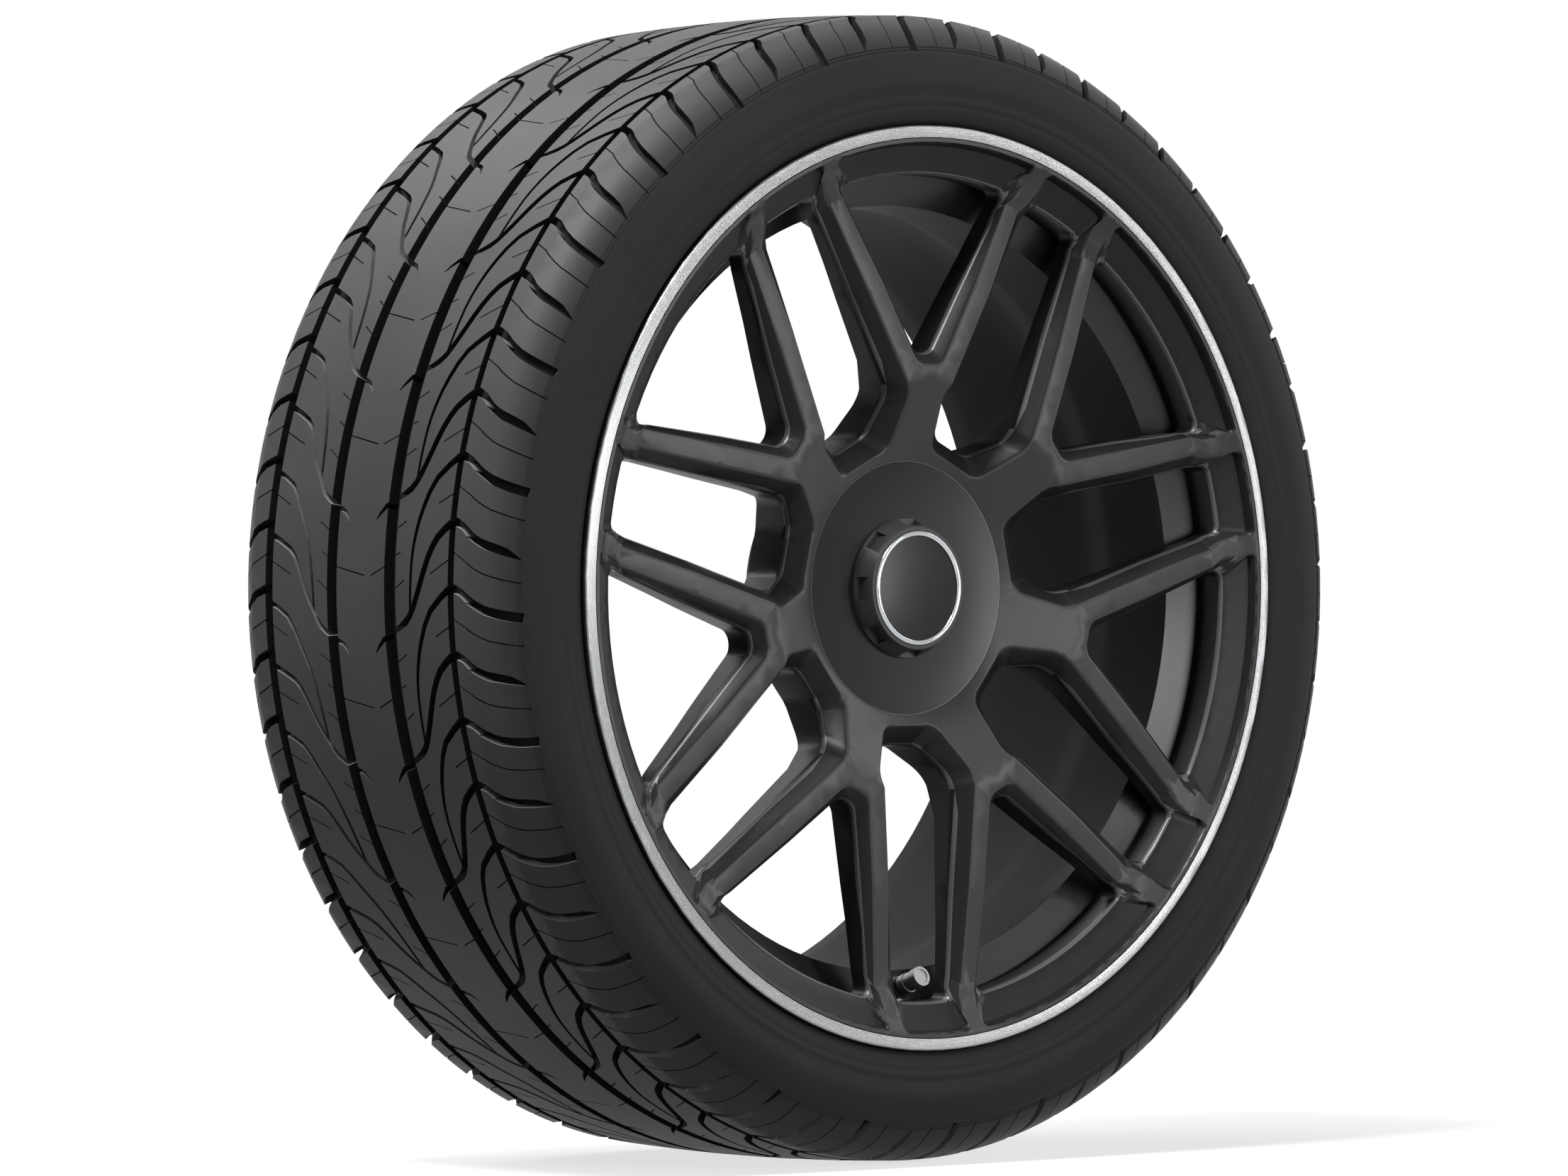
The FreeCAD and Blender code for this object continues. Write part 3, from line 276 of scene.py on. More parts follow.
WHEEL_BLACK = grained(
    "wheel_black_lacquer", grey(0.0085), grey(0.0105),
    rough=0.38, spread=0.08, scale=700, bump=0.06, specular=0.13)
# Painted light: spoke faces several times lighter than the same black lacquer in the windows, in place of a
# lamp on them; the slightly smoother satin roughness is real.
WHEEL_FACE_PAINTED_LIGHT = grained(
    "wheel_face_satin_painted_light", grey(0.033), grey(0.037),
    rough=0.34, spread=0.06, scale=700, bump=0.05, specular=0.18)
# Painted highlight: lighter, glossier strips along the window ridges, where rounded edges would catch the
# light.
WHEEL_RIDGE_PAINTED_HIGHLIGHT = grained(
    "wheel_ridge_painted_highlight", grey(0.055), grey(0.062),
    rough=0.34, spread=0.06, scale=700, bump=0.05, specular=0.5)
# Painted light: the barrel's black lacquer is painted lighter, to make up for the dim light inside the
# barrel.
BARREL_LACQUER_PAINTED_LIGHT = grained(
    "barrel_lacquer_painted_light", (0.0240, 0.0250, 0.0280), (0.0280, 0.0290, 0.0325),
    rough=0.5, spread=0.06, scale=500, bump=0.05, specular=0.03)
WELL_SATIN = grained(
    "well_wall_satin", (0.0055, 0.0057, 0.0066), (0.0065, 0.0068, 0.0077),
    rough=0.28, spread=0.06, scale=500, bump=0.05, specular=0.36)
LIP_METAL = turned_metal("lip_turned_aluminium", (0.24, 0.244, 0.248), rough=0.27, pitch_mm=0.34)
CAP_SATIN = grained(
    "cap_satin_black", grey(0.010), grey(0.012),
    rough=0.23, spread=0.06, scale=900, bump=0.04, specular=0.14)
# The cap's rim gets a painted highlight in place of a lit edge.
painted_edge_highlight(CAP_SATIN, start=74.5, colour=grey(0.085))
CHROME = grained(
    "ring_chrome", (0.42, 0.435, 0.45), (0.48, 0.495, 0.51),
    rough=0.08, spread=0.05, scale=300, bump=0.01, metallic=1.0)
BADGE_GLOSS = grained(
    "badge_gloss_black", grey(0.008), grey(0.011),
    rough=0.24, spread=0.05, scale=400, bump=0.01, specular=0.16)
SEAL = grained(
    "seal_rubber_matt", grey(0.010), grey(0.015),
    rough=0.7, spread=0.1, scale=900, bump=0.2)
VALVE_METAL = grained(
    "valve_satin_metal", (0.22, 0.223, 0.226), (0.27, 0.273, 0.276),
    rough=0.40, spread=0.12, scale=1200, bump=0.05, metallic=1.0)
STEEL = grained(
    "plain_steel", grey(0.42), grey(0.52),
    rough=0.36, spread=0.12, scale=900, bump=0.08, metallic=1.0)
VALVE_DARK = grained(
    "valve_dark_anodised", grey(0.03), grey(0.04),
    rough=0.38, spread=0.1, scale=900, bump=0.05, metallic=0.6)
BRASS = grained(
    "core_machined_brass", (0.60, 0.44, 0.18), (0.70, 0.54, 0.24),
    rough=0.32, spread=0.12, scale=900, bump=0.06, metallic=1.0)
SENSOR = grained(
    "sensor_moulding", grey(0.016), grey(0.024),
    rough=0.58, spread=0.1, scale=700, bump=0.2)
TYRE_RUBBER = tyre_rubber()


# Mesh pieces

WELD = 2e-6
SLIVER = 1e-6
EDGE_DEGREES = 28
ROUNDED_DEGREES = 50
COIL_DEGREES = 60
TREAD_DEGREES = 30


def mesh_object(name, vertices, faces):
    """New object in the scene with a mesh of its own."""
    mesh = bpy.data.meshes.new(name)
    mesh.from_pydata(vertices, [], faces)
    mesh.update()
    piece = bpy.data.objects.new(name, mesh)
    scene.collection.objects.link(piece)
    return piece


def body_of_node(node):
    """Name of the body that carries a CAD node."""
    for body, nodes in frame["record"]["behaviour"]["bodies"].items():
        if node in nodes:
            return body


def smooth_by_angle(mesh, degrees):
    """Smooth shading, with edges left sharp above an angle."""
    mesh.shade_smooth()
    mesh.set_sharp_from_angle(angle=math.radians(degrees))


def bake(piece, modifier):
    """Makes a modifier's result the piece's plain mesh."""
    depsgraph = bpy.context.evaluated_depsgraph_get()
    mesh = bpy.data.meshes.new_from_object(piece.evaluated_get(depsgraph))
    piece.modifiers.remove(modifier)
    old = piece.data
    piece.data = mesh
    bpy.data.meshes.remove(old)


def weigh_normals(piece):
    """Keeps broad faces flat, so that only the narrow strips between them shade as rounds."""
    modifier = piece.modifiers.new("Weigh", "WEIGHTED_NORMAL")
    modifier.mode = "FACE_AREA"
    modifier.weight = 100
    modifier.keep_sharp = True
    bake(piece, modifier)


def finished_node(node, material, degrees=EDGE_DEGREES, flat_faces=False):
    """Welded, smooth-shaded copy of a CAD node that stands in for it."""
    mesh = frame["nodes"][node].data.copy()
    mesh.name = node + "_finish"
    piece = bpy.data.objects.new(node + "_finish", mesh)
    scene.collection.objects.link(piece)
    bm = bmesh.new()
    bm.from_mesh(mesh)
    bmesh.ops.remove_doubles(bm, verts=bm.verts, dist=WELD)
    bmesh.ops.dissolve_degenerate(bm, edges=bm.edges, dist=SLIVER)
    bm.to_mesh(mesh)
    bm.free()
    old_normals = mesh.attributes.get("custom_normal")
    if old_normals:
        mesh.attributes.remove(old_normals)
    smooth_by_angle(mesh, degrees)
    mesh.materials.clear()
    mesh.materials.append(material)
    if flat_faces:
        weigh_normals(piece)
    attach(piece, body_of_node(node))
    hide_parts(node)
    return piece


# Wheel: one mesh whose finish and painted light depend on where a face lies, in millimetres

SPOKES = 7
SECTOR = FULL_TURN / SPOKES
NARROW_TURN = math.pi / SPOKES

# Tables of (radius, place along the axle): faces of the spokes, and ridges of the windows
FACE_LINE = (
    (75.5, -96.3), (122.0, -118.0), (180.0, -117.0), (235.6, -112.8),
    (243.1, -116.3), (252.6, -118.5), (261.1, -125.2),
)
NARROW_RIDGE = ((93.4, -89.7), (122.0, -105.5), (140.0, -108.0), (234.9, -107.8), (242.9, -111.2))
WIDE_RIDGE = ((130.8, -110.0), (236.9, -109.8), (242.9, -112.0))

# Table of (radius, distance from a narrow window's middle within which a face belongs to it)
NARROW_HALF = ((82.9, 24.0), (114.3, 46.0), (180.0, 38.4), (235.6, 35.0), (261.1, 30.1))

LIP_R = 264.2
LIP_Y = -118
FACE_R = 75
FACE_FORWARD = 0.6
FACE_REACH = 0.7
RIDGE_R = (90, 244)
RIDGE_REACH = 1.3
WELL_R = (224, 246)
WELL_Y = (-97, -78)
WELL_FORWARD = 0.8
BARREL_R = 200
BARREL_Y = -92

# Slots after the black: spoke faces with painted light, turned lip, barrel with painted light, well wall,
# ridges with a painted highlight.
WHEEL_FINISHES_AND_PAINTED_LIGHT = (WHEEL_FACE_PAINTED_LIGHT, LIP_METAL, BARREL_LACQUER_PAINTED_LIGHT, WELL_SATIN, WHEEL_RIDGE_PAINTED_HIGHLIGHT)
FACE, LIP, BARREL, WELL, RIDGE_HIGHLIGHT = range(1, 1 + len(WHEEL_FINISHES_AND_PAINTED_LIGHT))

# The castle nut in the middle of the cap
NUT_R = 41.8
NUT_FOOT_Y = -94.6
NUT = 1


def on_line(table, radius):
    """Value of a table at a radius, in a straight line between its rows."""
    for (r0, y0), (r1, y1) in zip(table, table[1:]):
        if radius <= r1:
            return y0 + (y1 - y0) * (radius - r0) / (r1 - r0)
    return table[-1][1]


def ridge_depth(radius, turn):
    """Place of the ridge below the bevel of the window that this turn lies in."""
    beside = abs(math.remainder(turn - NARROW_TURN, SECTOR))
    narrow = radius * math.sin(beside) < on_line(NARROW_HALF, radius)
    return on_line(NARROW_RIDGE if narrow else WIDE_RIDGE, radius)


def between(limits, value):
    """Whether a value lies inside a pair of limits."""
    return limits[0] < value < limits[1]


def wheel_material_index(centre, forward):
    """Number of the material of a face, from its centre and how far it looks outwards; 0 is the black, some
    carry painted light.
    """
    x, y, z = centre
    radius = math.hypot(x, z)
    if radius > LIP_R and y < LIP_Y:
        return LIP
    # Spoke faces take the lacquer with painted light.
    if radius > FACE_R and forward > FACE_FORWARD and abs(y - on_line(FACE_LINE, radius)) < FACE_REACH:
        return FACE
    # Window ridges get a painted highlight.
    if between(RIDGE_R, radius) and abs(y - ridge_depth(radius, math.atan2(x, z))) < RIDGE_REACH:
        return RIDGE_HIGHLIGHT
    if between(WELL_R, radius) and between(WELL_Y, y) and forward > WELL_FORWARD:
        return WELL
    if radius > BARREL_R and y > BARREL_Y:
        return BARREL
    return 0


def paint_wheel(wheel):
    """Gives each face of the wheel its material, painted light and painted highlights included."""
    mesh = wheel.data
    for material in WHEEL_FINISHES_AND_PAINTED_LIGHT:
        mesh.materials.append(material)
    for polygon in mesh.polygons:
        polygon.material_index = wheel_material_index(polygon.center / MM, -polygon.normal.y)


def paint_cap(cap):
    """Gives the castle nut in the middle of the cap the paler lacquer of the spoke faces, painted light that
    lightens the nut.
    """
    mesh = cap.data
    mesh.materials.append(WHEEL_FACE_PAINTED_LIGHT)
    for polygon in mesh.polygons:
        x, y, z = polygon.center / MM
        if math.hypot(x, z) < NUT_R and y < NUT_FOOT_Y:
            polygon.material_index = NUT


paint_wheel(finished_node("forged_wheel", WHEEL_BLACK, ROUNDED_DEGREES, True))


# Tyre section, in millimetres: points are (place along the axle, radius)

TYRE_R = 339.3
TREAD_HALF = 97.6
TREAD_DROP = 2.6
TREAD_END_R = TYRE_R - TREAD_DROP
SHOULDER = (105.5, 332.7)
SIDE_MIDDLE = (120.26, 317.85)
SIDE_WIDEST = (126.0, 299.0)
PITCHES = 28
PITCH_ANGLE = FULL_TURN / PITCHES
PITCH = PITCH_ANGLE * TYRE_R
PHASE = math.radians(-115.0)
STEPS = 6


def circle_through(a, b, c):
    """Centre and radius of the circle through three points of the section."""
    ax, ay = a
    bx, by = b
    cx, cy = c
    aa = ax * ax + ay * ay
    bb = bx * bx + by * by
    cc = cx * cx + cy * cy
    d = 2 * (ax * (by - cy) + bx * (cy - ay) + cx * (ay - by))
    ux = (aa * (by - cy) + bb * (cy - ay) + cc * (ay - by)) / d
    uy = (aa * (cx - bx) + bb * (ax - cx) + cc * (bx - ax)) / d
    return (ux, uy), math.hypot(ax - ux, ay - uy)


CROWN_CENTRE, CROWN_R = circle_through((-TREAD_HALF, TREAD_END_R), (0, TYRE_R), (TREAD_HALF, TREAD_END_R))
SIDE_CENTRE, SIDE_R = circle_through(SHOULDER, SIDE_MIDDLE, SIDE_WIDEST)
SIDE_START = math.atan2(SHOULDER[1] - SIDE_CENTRE[1], SHOULDER[0] - SIDE_CENTRE[0])

# Distances along the tread's surface from its middle line
CROWN_LENGTH = CROWN_R * math.asin(TREAD_HALF / CROWN_R)
SHOULDER_LENGTH = math.hypot(SHOULDER[0] - TREAD_HALF, SHOULDER[1] - TREAD_END_R)
SIDE_BEGIN = CROWN_LENGTH + SHOULDER_LENGTH
TREAD_EDGE = SIDE_BEGIN + 27.0
TREAD_FADE = 24.0
SHALLOWING_FROM = 98.0
SHALLOWING_SLOPE = 0.02


def on_section(t):
    """Point of the tread's surface at distance t from the middle line, and its outward normal."""
    side = -1 if t < 0 else 1
    t = abs(t)
    if t <= CROWN_LENGTH:
        angle = t / CROWN_R
        normal = (math.sin(angle), math.cos(angle))
        point = (CROWN_R * normal[0], CROWN_CENTRE[1] + CROWN_R * normal[1])
    elif t <= SIDE_BEGIN:
        share = (t - CROWN_LENGTH) / SHOULDER_LENGTH
        out = SHOULDER[0] - TREAD_HALF
        down = TREAD_END_R - SHOULDER[1]
        point = (TREAD_HALF + share * out, TREAD_END_R - share * down)
        normal = (down / SHOULDER_LENGTH, out / SHOULDER_LENGTH)
    else:
        angle = SIDE_START - (t - SIDE_BEGIN) / SIDE_R
        normal = (math.cos(angle), math.sin(angle))
        point = (SIDE_CENTRE[0] + SIDE_R * normal[0], SIDE_CENTRE[1] + SIDE_R * normal[1])
    return (side * point[0], point[1]), (side * normal[0], normal[1])


def round_axle(y, radius, angle):
    """Point in metres, from millimetres along and away from the axle and an angle round it."""
    return Vector((radius * math.sin(angle), y, radius * math.cos(angle))) * MM


# Tread pattern of one pitch: paths of (distance across, degrees round), in millimetres otherwise

DEEP = 7.4
SIPE = 3.0
SIPE_WIDTH = 0.8
PATH_STEPS = 2
RING_GROOVES = ((-87.0, -82.0), (-37.0, -27.0), (16.0, 25.0), (77.0, 84.0))
RAISED_LINES = (
    (-130.3, -129.7), (127.7, 128.3),
    (-128.3, -127.7), (129.7, 130.3),
)
RAISED_HEIGHT = 0.8

# Each groove is a path and the widths at its points
GROOVES = (
    # Front half: long S groove, its branch and the hook it ends in
    (
        ((-83, 18.4), (-72, 17.0), (-64.5, 15.0), (-58.3, 12.5), (-52, 10.2), (-45.7, 8.9), (-36, 8.0)),
        (5.0, 4.6, 4.4, 4.2, 4.2, 4.4, 3.0),
    ),
    (
        ((-49.5, 9.6), (-50.7, 14.5), (-53.3, 17.3), (-58.3, 20.0), (-67, 22.8), (-83, 24.9)),
        (2.0, 2.2, 2.6, 3.2, 3.8, 4.6),
    ),
    (
        ((-34, 20.0), (-26, 20.1), (-17.5, 18.7)),
        (3.4, 3.4, 0.6),
    ),
    # Back half: the same three
    (
        ((24, 7.7), (31.7, 8.5), (38, 10.0), (45.5, 12.0), (53, 14.5), (60.5, 16.0), (79, 17.4)),
        (3.4, 3.4, 3.2, 3.2, 3.2, 3.4, 3.6),
    ),
    (
        ((37.3, 10.2), (39.2, 13.5), (44.3, 17.0), (53, 19.8), (63, 22.3), (79, 23.6)),
        (2.0, 2.4, 2.6, 2.8, 3.0, 3.2),
    ),
    (
        ((18, 20.0), (11, 19.6), (6.7, 18.6)),
        (3.2, 2.6, 0.6),
    ),
    # Shoulder grooves: on each side one runs out over the shoulder's edge and one tapers to a point
    (
        ((-84, 25.1), (-93, 24.55), (-100, 23.65), (-105, 23.12), (-110, 22.7), (-120, 22.22), (-131, 21.9)),
        (5.2, 4.7, 4.7, 5.0, 5.4, 5.9, 5.9),
    ),
    (
        ((-84, 18.7), (-93, 18.1), (-100, 17.1), (-105, 16.6), (-110, 16.25), (-120, 15.75), (-129.5, 15.0)),
        (5.2, 4.6, 4.6, 4.9, 5.4, 5.0, 0.3),
    ),
    (
        ((82, 25.0), (93, 24.4), (100, 23.5), (105, 23.0), (110, 22.6), (120, 22.1), (131, 21.8)),
        (5.2, 4.7, 4.7, 5.0, 5.4, 5.9, 5.9),
    ),
    (
        ((82, 18.6), (93, 18.0), (100, 17.0), (105, 16.5), (110, 16.15), (120, 15.65), (129.5, 14.9)),
        (5.2, 4.6, 4.6, 4.9, 5.4, 5.0, 0.3),
    ),
)

# Fine slits: paths of one width
SIPES = (
    ((-85, 15.7), (-97, 14.6), (-100, 14.2), (-105, 13.7), (-110, 13.35), (-120, 12.9), (-130, 12.55)),
    ((-85, 22.1), (-97, 21.1), (-100, 20.7), (-105, 20.2), (-110, 19.8), (-120, 19.35), (-130, 19.0)),
    ((82, 15.6), (97, 14.5), (100, 14.1), (105, 13.6), (110, 13.25), (120, 12.8), (130, 12.45)),
    ((82, 22.0), (97, 21.0), (100, 20.6), (105, 20.1), (110, 19.7), (120, 19.25), (130, 18.9)),
    ((-83, 14.9), (-67, 13.5)),
    ((-83, 21.3), (-70.7, 20.3)),
    ((-44.5, 12.9), (-36, 12.0)),
    ((-41, 15.6), (-36, 15.2)),
    ((-44.5, 18.6), (-36, 17.8)),
    ((-34, 27.0), (-26.5, 27.0), (-15, 26.2)),
    ((-9.5, 26.2), (17, 27.1)),
    ((23, 12.1), (25, 12.0), (33.5, 12.9)),
    ((23, 15.2), (25, 15.2), (30, 15.7)),
    ((23, 17.8), (25, 17.8), (33.5, 18.6)),
    ((59.3, 13.5), (78, 14.8)),
    ((63.7, 20.3), (78, 21.4)),
)


def on_curve(p, q, r, s, u):
    """Value at share u of the way from q to r, on a smooth curve through four values."""
    square = (2 * p - 5 * q + 4 * r - s) * u * u
    cube = (3 * q - p - 3 * r + s) * u ** 3
    return 0.5 * (2 * q + (r - p) * u + square + cube)


def eased(points, widths, count):
    """More points along a path and its widths, on a smooth curve through the given ones."""
    out = []
    last = len(points) - 1
    for i in range(last):
        four = [points[max(0, min(last, i + k))] for k in (-1, 0, 1, 2)]
        for step in range(count):
            u = step / count
            place = [on_curve(*values, u) for values in zip(*four)]
            out.append((place, widths[i] + u * (widths[i + 1] - widths[i])))
    out.append((list(points[last]), widths[last]))
    return out


def groove_quads(path):
    """Quads along a path of ((t, s), width) entries, mitred where they meet."""
    places = [Vector(place) for place, _ in path]
    edges = []
    for i, (_, width) in enumerate(path):
        before = places[i] - places[max(0, i - 1)]
        after = places[min(len(places) - 1, i + 1)] - places[i]
        along = before.normalized() + after.normalized()
        across = Vector((-along.y, along.x)).normalized() * width / 2
        edges.append((places[i] + across, places[i] - across))
    quads = []
    for (left_a, right_a), (left_b, right_b) in zip(edges, edges[1:]):
        quads.append((right_a, right_b, left_b, left_a))
    return quads


def reaches_pitch(quad):
    """Whether a quad lies at least in part within one pitch."""
    return max(corner.y for corner in quad) > 0 and min(corner.y for corner in quad) < PITCH


def pattern_faces():
    """Outlines of grooves, slits and raised lines that reach into one pitch, as (quad, depth)."""
    per_degree = TYRE_R * math.pi / 180
    faces = []
    for path, widths in GROOVES:
        smooth = eased([(t, degrees * per_degree) for t, degrees in path], widths, PATH_STEPS)
        faces += [(quad, DEEP) for quad in groove_quads(smooth)]
    for path in SIPES:
        plain = [((t, degrees * per_degree), SIPE_WIDTH) for t, degrees in path]
        faces += [(quad, SIPE) for quad in groove_quads(plain)]
    repeated = []
    for turn in (-3, -2, -1, 0, 1):
        move = Vector((0, turn * PITCH))
        repeated += [([corner + move for corner in quad], depth) for quad, depth in faces]
    whole = [(low, high, DEEP) for low, high in RING_GROOVES]
    whole += [(low, high, -RAISED_HEIGHT) for low, high in RAISED_LINES]
    for low, high, depth in whole:
        corners = ((low, -1), (high, -1), (high, PITCH + 1), (low, PITCH + 1))
        repeated.append(([Vector(corner) for corner in corners], depth))
    return [(quad, depth) for quad, depth in repeated if reaches_pitch(quad)]


CROWN_BENDS = 5
CROWN_BEND_STEP = 19.5
SIDE_BENDS = 6
SIDE_BEND_STEP = 4.5
MEETING_DISTANCE = 1e-4


def tread_plan():
    """Points and triangles of one pitch in the (t, s) plane, each triangle with its depth."""
    points = []
    edges = []
    faces = []
    depths = []

    def line(a, b):
        """Adds a line that the triangles have to follow."""
        points.extend((Vector(a), Vector(b)))
        edges.append((len(points) - 2, len(points) - 1))

    for step in range(STEPS + 1):
        line((-TREAD_EDGE, PITCH * step / STEPS), (TREAD_EDGE, PITCH * step / STEPS))
    bends = [k * CROWN_BEND_STEP for k in range(CROWN_BENDS)]
    bends += [CROWN_LENGTH, TREAD_EDGE]
    bends += [SIDE_BEGIN + k * SIDE_BEND_STEP for k in range(SIDE_BENDS)]
    for t in sorted({side * bend for bend in bends for side in (-1, 1)}):
        line((t, 0), (t, PITCH))
    for quad, depth in pattern_faces():
        first = len(points)
        points.extend(quad)
        faces.append(tuple(range(first, first + 4)))
        depths.append(depth)
    found = geometry.delaunay_2d_cdt(points, edges, faces, 0, MEETING_DISTANCE, True)
    flat, triangles, face_sources = found[0], found[2], found[5]
    plan = []
    for triangle, sources in zip(triangles, face_sources):
        middle = sum((flat[k] for k in triangle), Vector((0, 0))) / 3
        if abs(middle.x) > TREAD_EDGE or not 0 < middle.y < PITCH:
            continue
        plan.append((triangle, max((depths[k] for k in sources), default=0.0)))
    return flat, plan


# Section from the tread's edge down the sidewall, round the bead and along the inside to the middle
SIDEWALL = (
    (124.8, 306.0), (126.0, 299.0), (125.9, 295.0), (125.3, 290.5), (125.0, 288.6), (125.25, 287.4),
    (125.3, 285.2), (124.9, 283.6), (124.6, 282.4), (124.75, 281.6), (124.2, 279.2), (123.7, 277.0),
    (123.2, 274.6), (121.6, 272.5), (120.3, 271.55), (118.0, 270.95), (115.9, 269.3), (114.6, 267.0),
    (114.2, 265.4), (114.2, 259.0), (112.9, 255.6), (109.3, 254.0), (94.5, 252.75),
    (94.5, 258.6), (103.0, 269.5), (111.0, 278.6), (114.5, 289.0), (116.4, 299.0), (115.0, 307.5),
    (110.0, 315.0), (101.0, 320.5), (90.5, 322.4), (45.0, 323.1), (0.0, 323.3),
)


def share_of(value):
    """Value held between 0 and 1."""
    return min(1.0, max(0.0, value))


def tyre_pitch():
    """One pitch of the tyre as a mesh: patterned tread, groove walls, sidewalls, beads and liner."""
    flat, plan = tread_plan()
    vertices = []
    marks = []
    index = {}
    faces = []

    def corner(k, depth):
        """Number of the vertex at a point of the plan and a depth, made at its first use."""
        key = (k, depth)
        if key not in index:
            t, s = flat[k]
            (y, radius), (out, up) = on_section(t)
            down = depth * (1.0 - SHALLOWING_SLOPE * max(0.0, abs(t) - SHALLOWING_FROM))
            index[key] = len(vertices)
            vertices.append(round_axle(y - out * down, radius - up * down, PHASE + s / TYRE_R))
            marks.append(share_of((TREAD_EDGE - abs(t)) / TREAD_FADE))
        return index[key]

    sides = {}
    floor_shades = []
    wall_highlights = []
    for triangle, depth in plan:
        faces.append([corner(k, depth) for k in triangle])
        # Painted shade: a floor's darkening grows with its depth.
        floor_shades.append(share_of(depth / DEEP))
        wall_highlights.append(0.0)
        for a, b in zip(triangle, triangle[1:] + triangle[:1]):
            sides.setdefault((min(a, b), max(a, b)), []).append((depth, a, b))
    for met in sides.values():
        if len(met) == 2 and met[0][0] != met[1][0]:
            deep, a, b = max(met)
            shallow = min(met)[0]
            faces.append([corner(b, deep), corner(a, deep), corner(a, shallow), corner(b, shallow)])
            floor_shades.append(min(1.0, deep / DEEP))
            # Painted highlight: deep walls whose run goes one way across the tread get a pale share; slits
            # get none.
            along = flat[b] - flat[a]
            lit = max(0.0, along.x) / (abs(along.x) + abs(along.y))
            wall_highlights.append(lit if deep > SIPE else 0.0)

    section = (on_section(TREAD_EDGE)[0],) + SIDEWALL
    for side in (-1, 1):
        rows = []
        for y, radius in section:
            row = []
            for step in range(STEPS + 1):
                row.append(len(vertices))
                vertices.append(round_axle(side * y, radius, PHASE + PITCH_ANGLE * step / STEPS))
                marks.append(0.0)
            rows.append(row)
        for upper, lower in zip(rows, rows[1:]):
            for k in range(STEPS):
                faces.append([upper[k], upper[k + 1], lower[k + 1], lower[k]][::side])
    piece = mesh_object("tyre_pitch", vertices, faces)
    on_corners = piece.data.attributes.new("tread", "FLOAT", "POINT")
    on_corners.data.foreach_set("value", marks)
    for name, values in (("depth", floor_shades), ("groove_wall_highlight", wall_highlights)):
        on_faces = piece.data.attributes.new(name, "FLOAT", "FACE")
        on_faces.data.foreach_set("value", values + [0.0] * (len(faces) - len(values)))
    return piece


# Geometry Nodes group that repeats a piece round the axle

def round_axle_group():
    """Shared group: copies of a piece round the axle, welded where they meet, with one material."""
    group = bpy.data.node_groups.new("Repeat round axle", "GeometryNodeTree")
    group.interface.new_socket("Geometry", in_out="INPUT", socket_type="NodeSocketGeometry")
    group.interface.new_socket("Count", in_out="INPUT", socket_type="NodeSocketInt")
    group.interface.new_socket("Weld", in_out="INPUT", socket_type="NodeSocketFloat")
    group.interface.new_socket("Material", in_out="INPUT", socket_type="NodeSocketMaterial")
    group.interface.new_socket("Geometry", in_out="OUTPUT", socket_type="NodeSocketGeometry")
    begin = add(group, "NodeGroupInput")
    end = add(group, "NodeGroupOutput")
    points = add(group, "GeometryNodePoints")
    place = add(group, "GeometryNodeInstanceOnPoints")
    number = add(group, "GeometryNodeInputIndex")
    share = math_node(group, "DIVIDE", number.outputs[0], begin.outputs["Count"])
    angle = math_node(group, "MULTIPLY", share, FULL_TURN)
    turn = add(group, "ShaderNodeCombineXYZ")
    real = add(group, "GeometryNodeRealizeInstances")
    weld = add(group, "GeometryNodeMergeByDistance")
    finish = add(group, "GeometryNodeSetMaterial")
    group.links.new(begin.outputs["Count"], points.inputs["Count"])
    group.links.new(points.outputs[0], place.inputs["Points"])
    group.links.new(begin.outputs["Geometry"], place.inputs["Instance"])
    group.links.new(angle, turn.inputs["Y"])
    group.links.new(turn.outputs[0], place.inputs["Rotation"])
    group.links.new(place.outputs[0], real.inputs["Geometry"])
    group.links.new(real.outputs[0], weld.inputs["Geometry"])
    group.links.new(begin.outputs["Weld"], weld.inputs["Distance"])
    group.links.new(weld.outputs[0], finish.inputs["Geometry"])
    group.links.new(begin.outputs["Material"], finish.inputs["Material"])
    group.links.new(finish.outputs[0], end.inputs["Geometry"])
    return group


ROUND_GROUP = round_axle_group()
PITCH_WELD = 2e-5


def repeated_round(piece, count, material):
    """Repeats a piece round the axle with the shared group and keeps the result as a plain mesh."""
    modifier = piece.modifiers.new("Repeat", "NODES")
    modifier.node_group = ROUND_GROUP
    sockets = ROUND_GROUP.interface.items_tree
    names = {item.name: item.identifier for item in sockets if item.in_out == "INPUT"}
    modifier[names["Count"]] = count
    modifier[names["Weld"]] = PITCH_WELD
    modifier[names["Material"]] = material
    bake(piece, modifier)
    return piece


tyre = repeated_round(tyre_pitch(), PITCHES, TYRE_RUBBER)
tyre.name = "tyre_tread_and_carcass"
smooth_by_angle(tyre.data, TREAD_DEGREES)
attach(tyre, "wheel")
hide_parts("tyre")


# Hub cap and valve pieces

paint_cap(finished_node("hub_cap", CAP_SATIN))
finished_node("hub_cap_ring", CHROME, ROUNDED_DEGREES)
finished_node("hub_cap_badge", BADGE_GLOSS)
finished_node("hub_cap_seal", SEAL)
finished_node("valve_stem", VALVE_METAL)
finished_node("valve_grommet", SEAL)
finished_node("valve_washer", STEEL)
finished_node("valve_nut", VALVE_DARK)
finished_node("valve_core_body", BRASS)
finished_node("valve_core_pin", BRASS)
finished_node("valve_core_spring", STEEL, COIL_DEGREES)
finished_node("valve_cap", VALVE_METAL)
finished_node("valve_cap_seal", SEAL)
finished_node("pressure_sensor", SENSOR)
finished_node("sensor_screw", STEEL)


# Floor, background, light and camera, in metres and watts

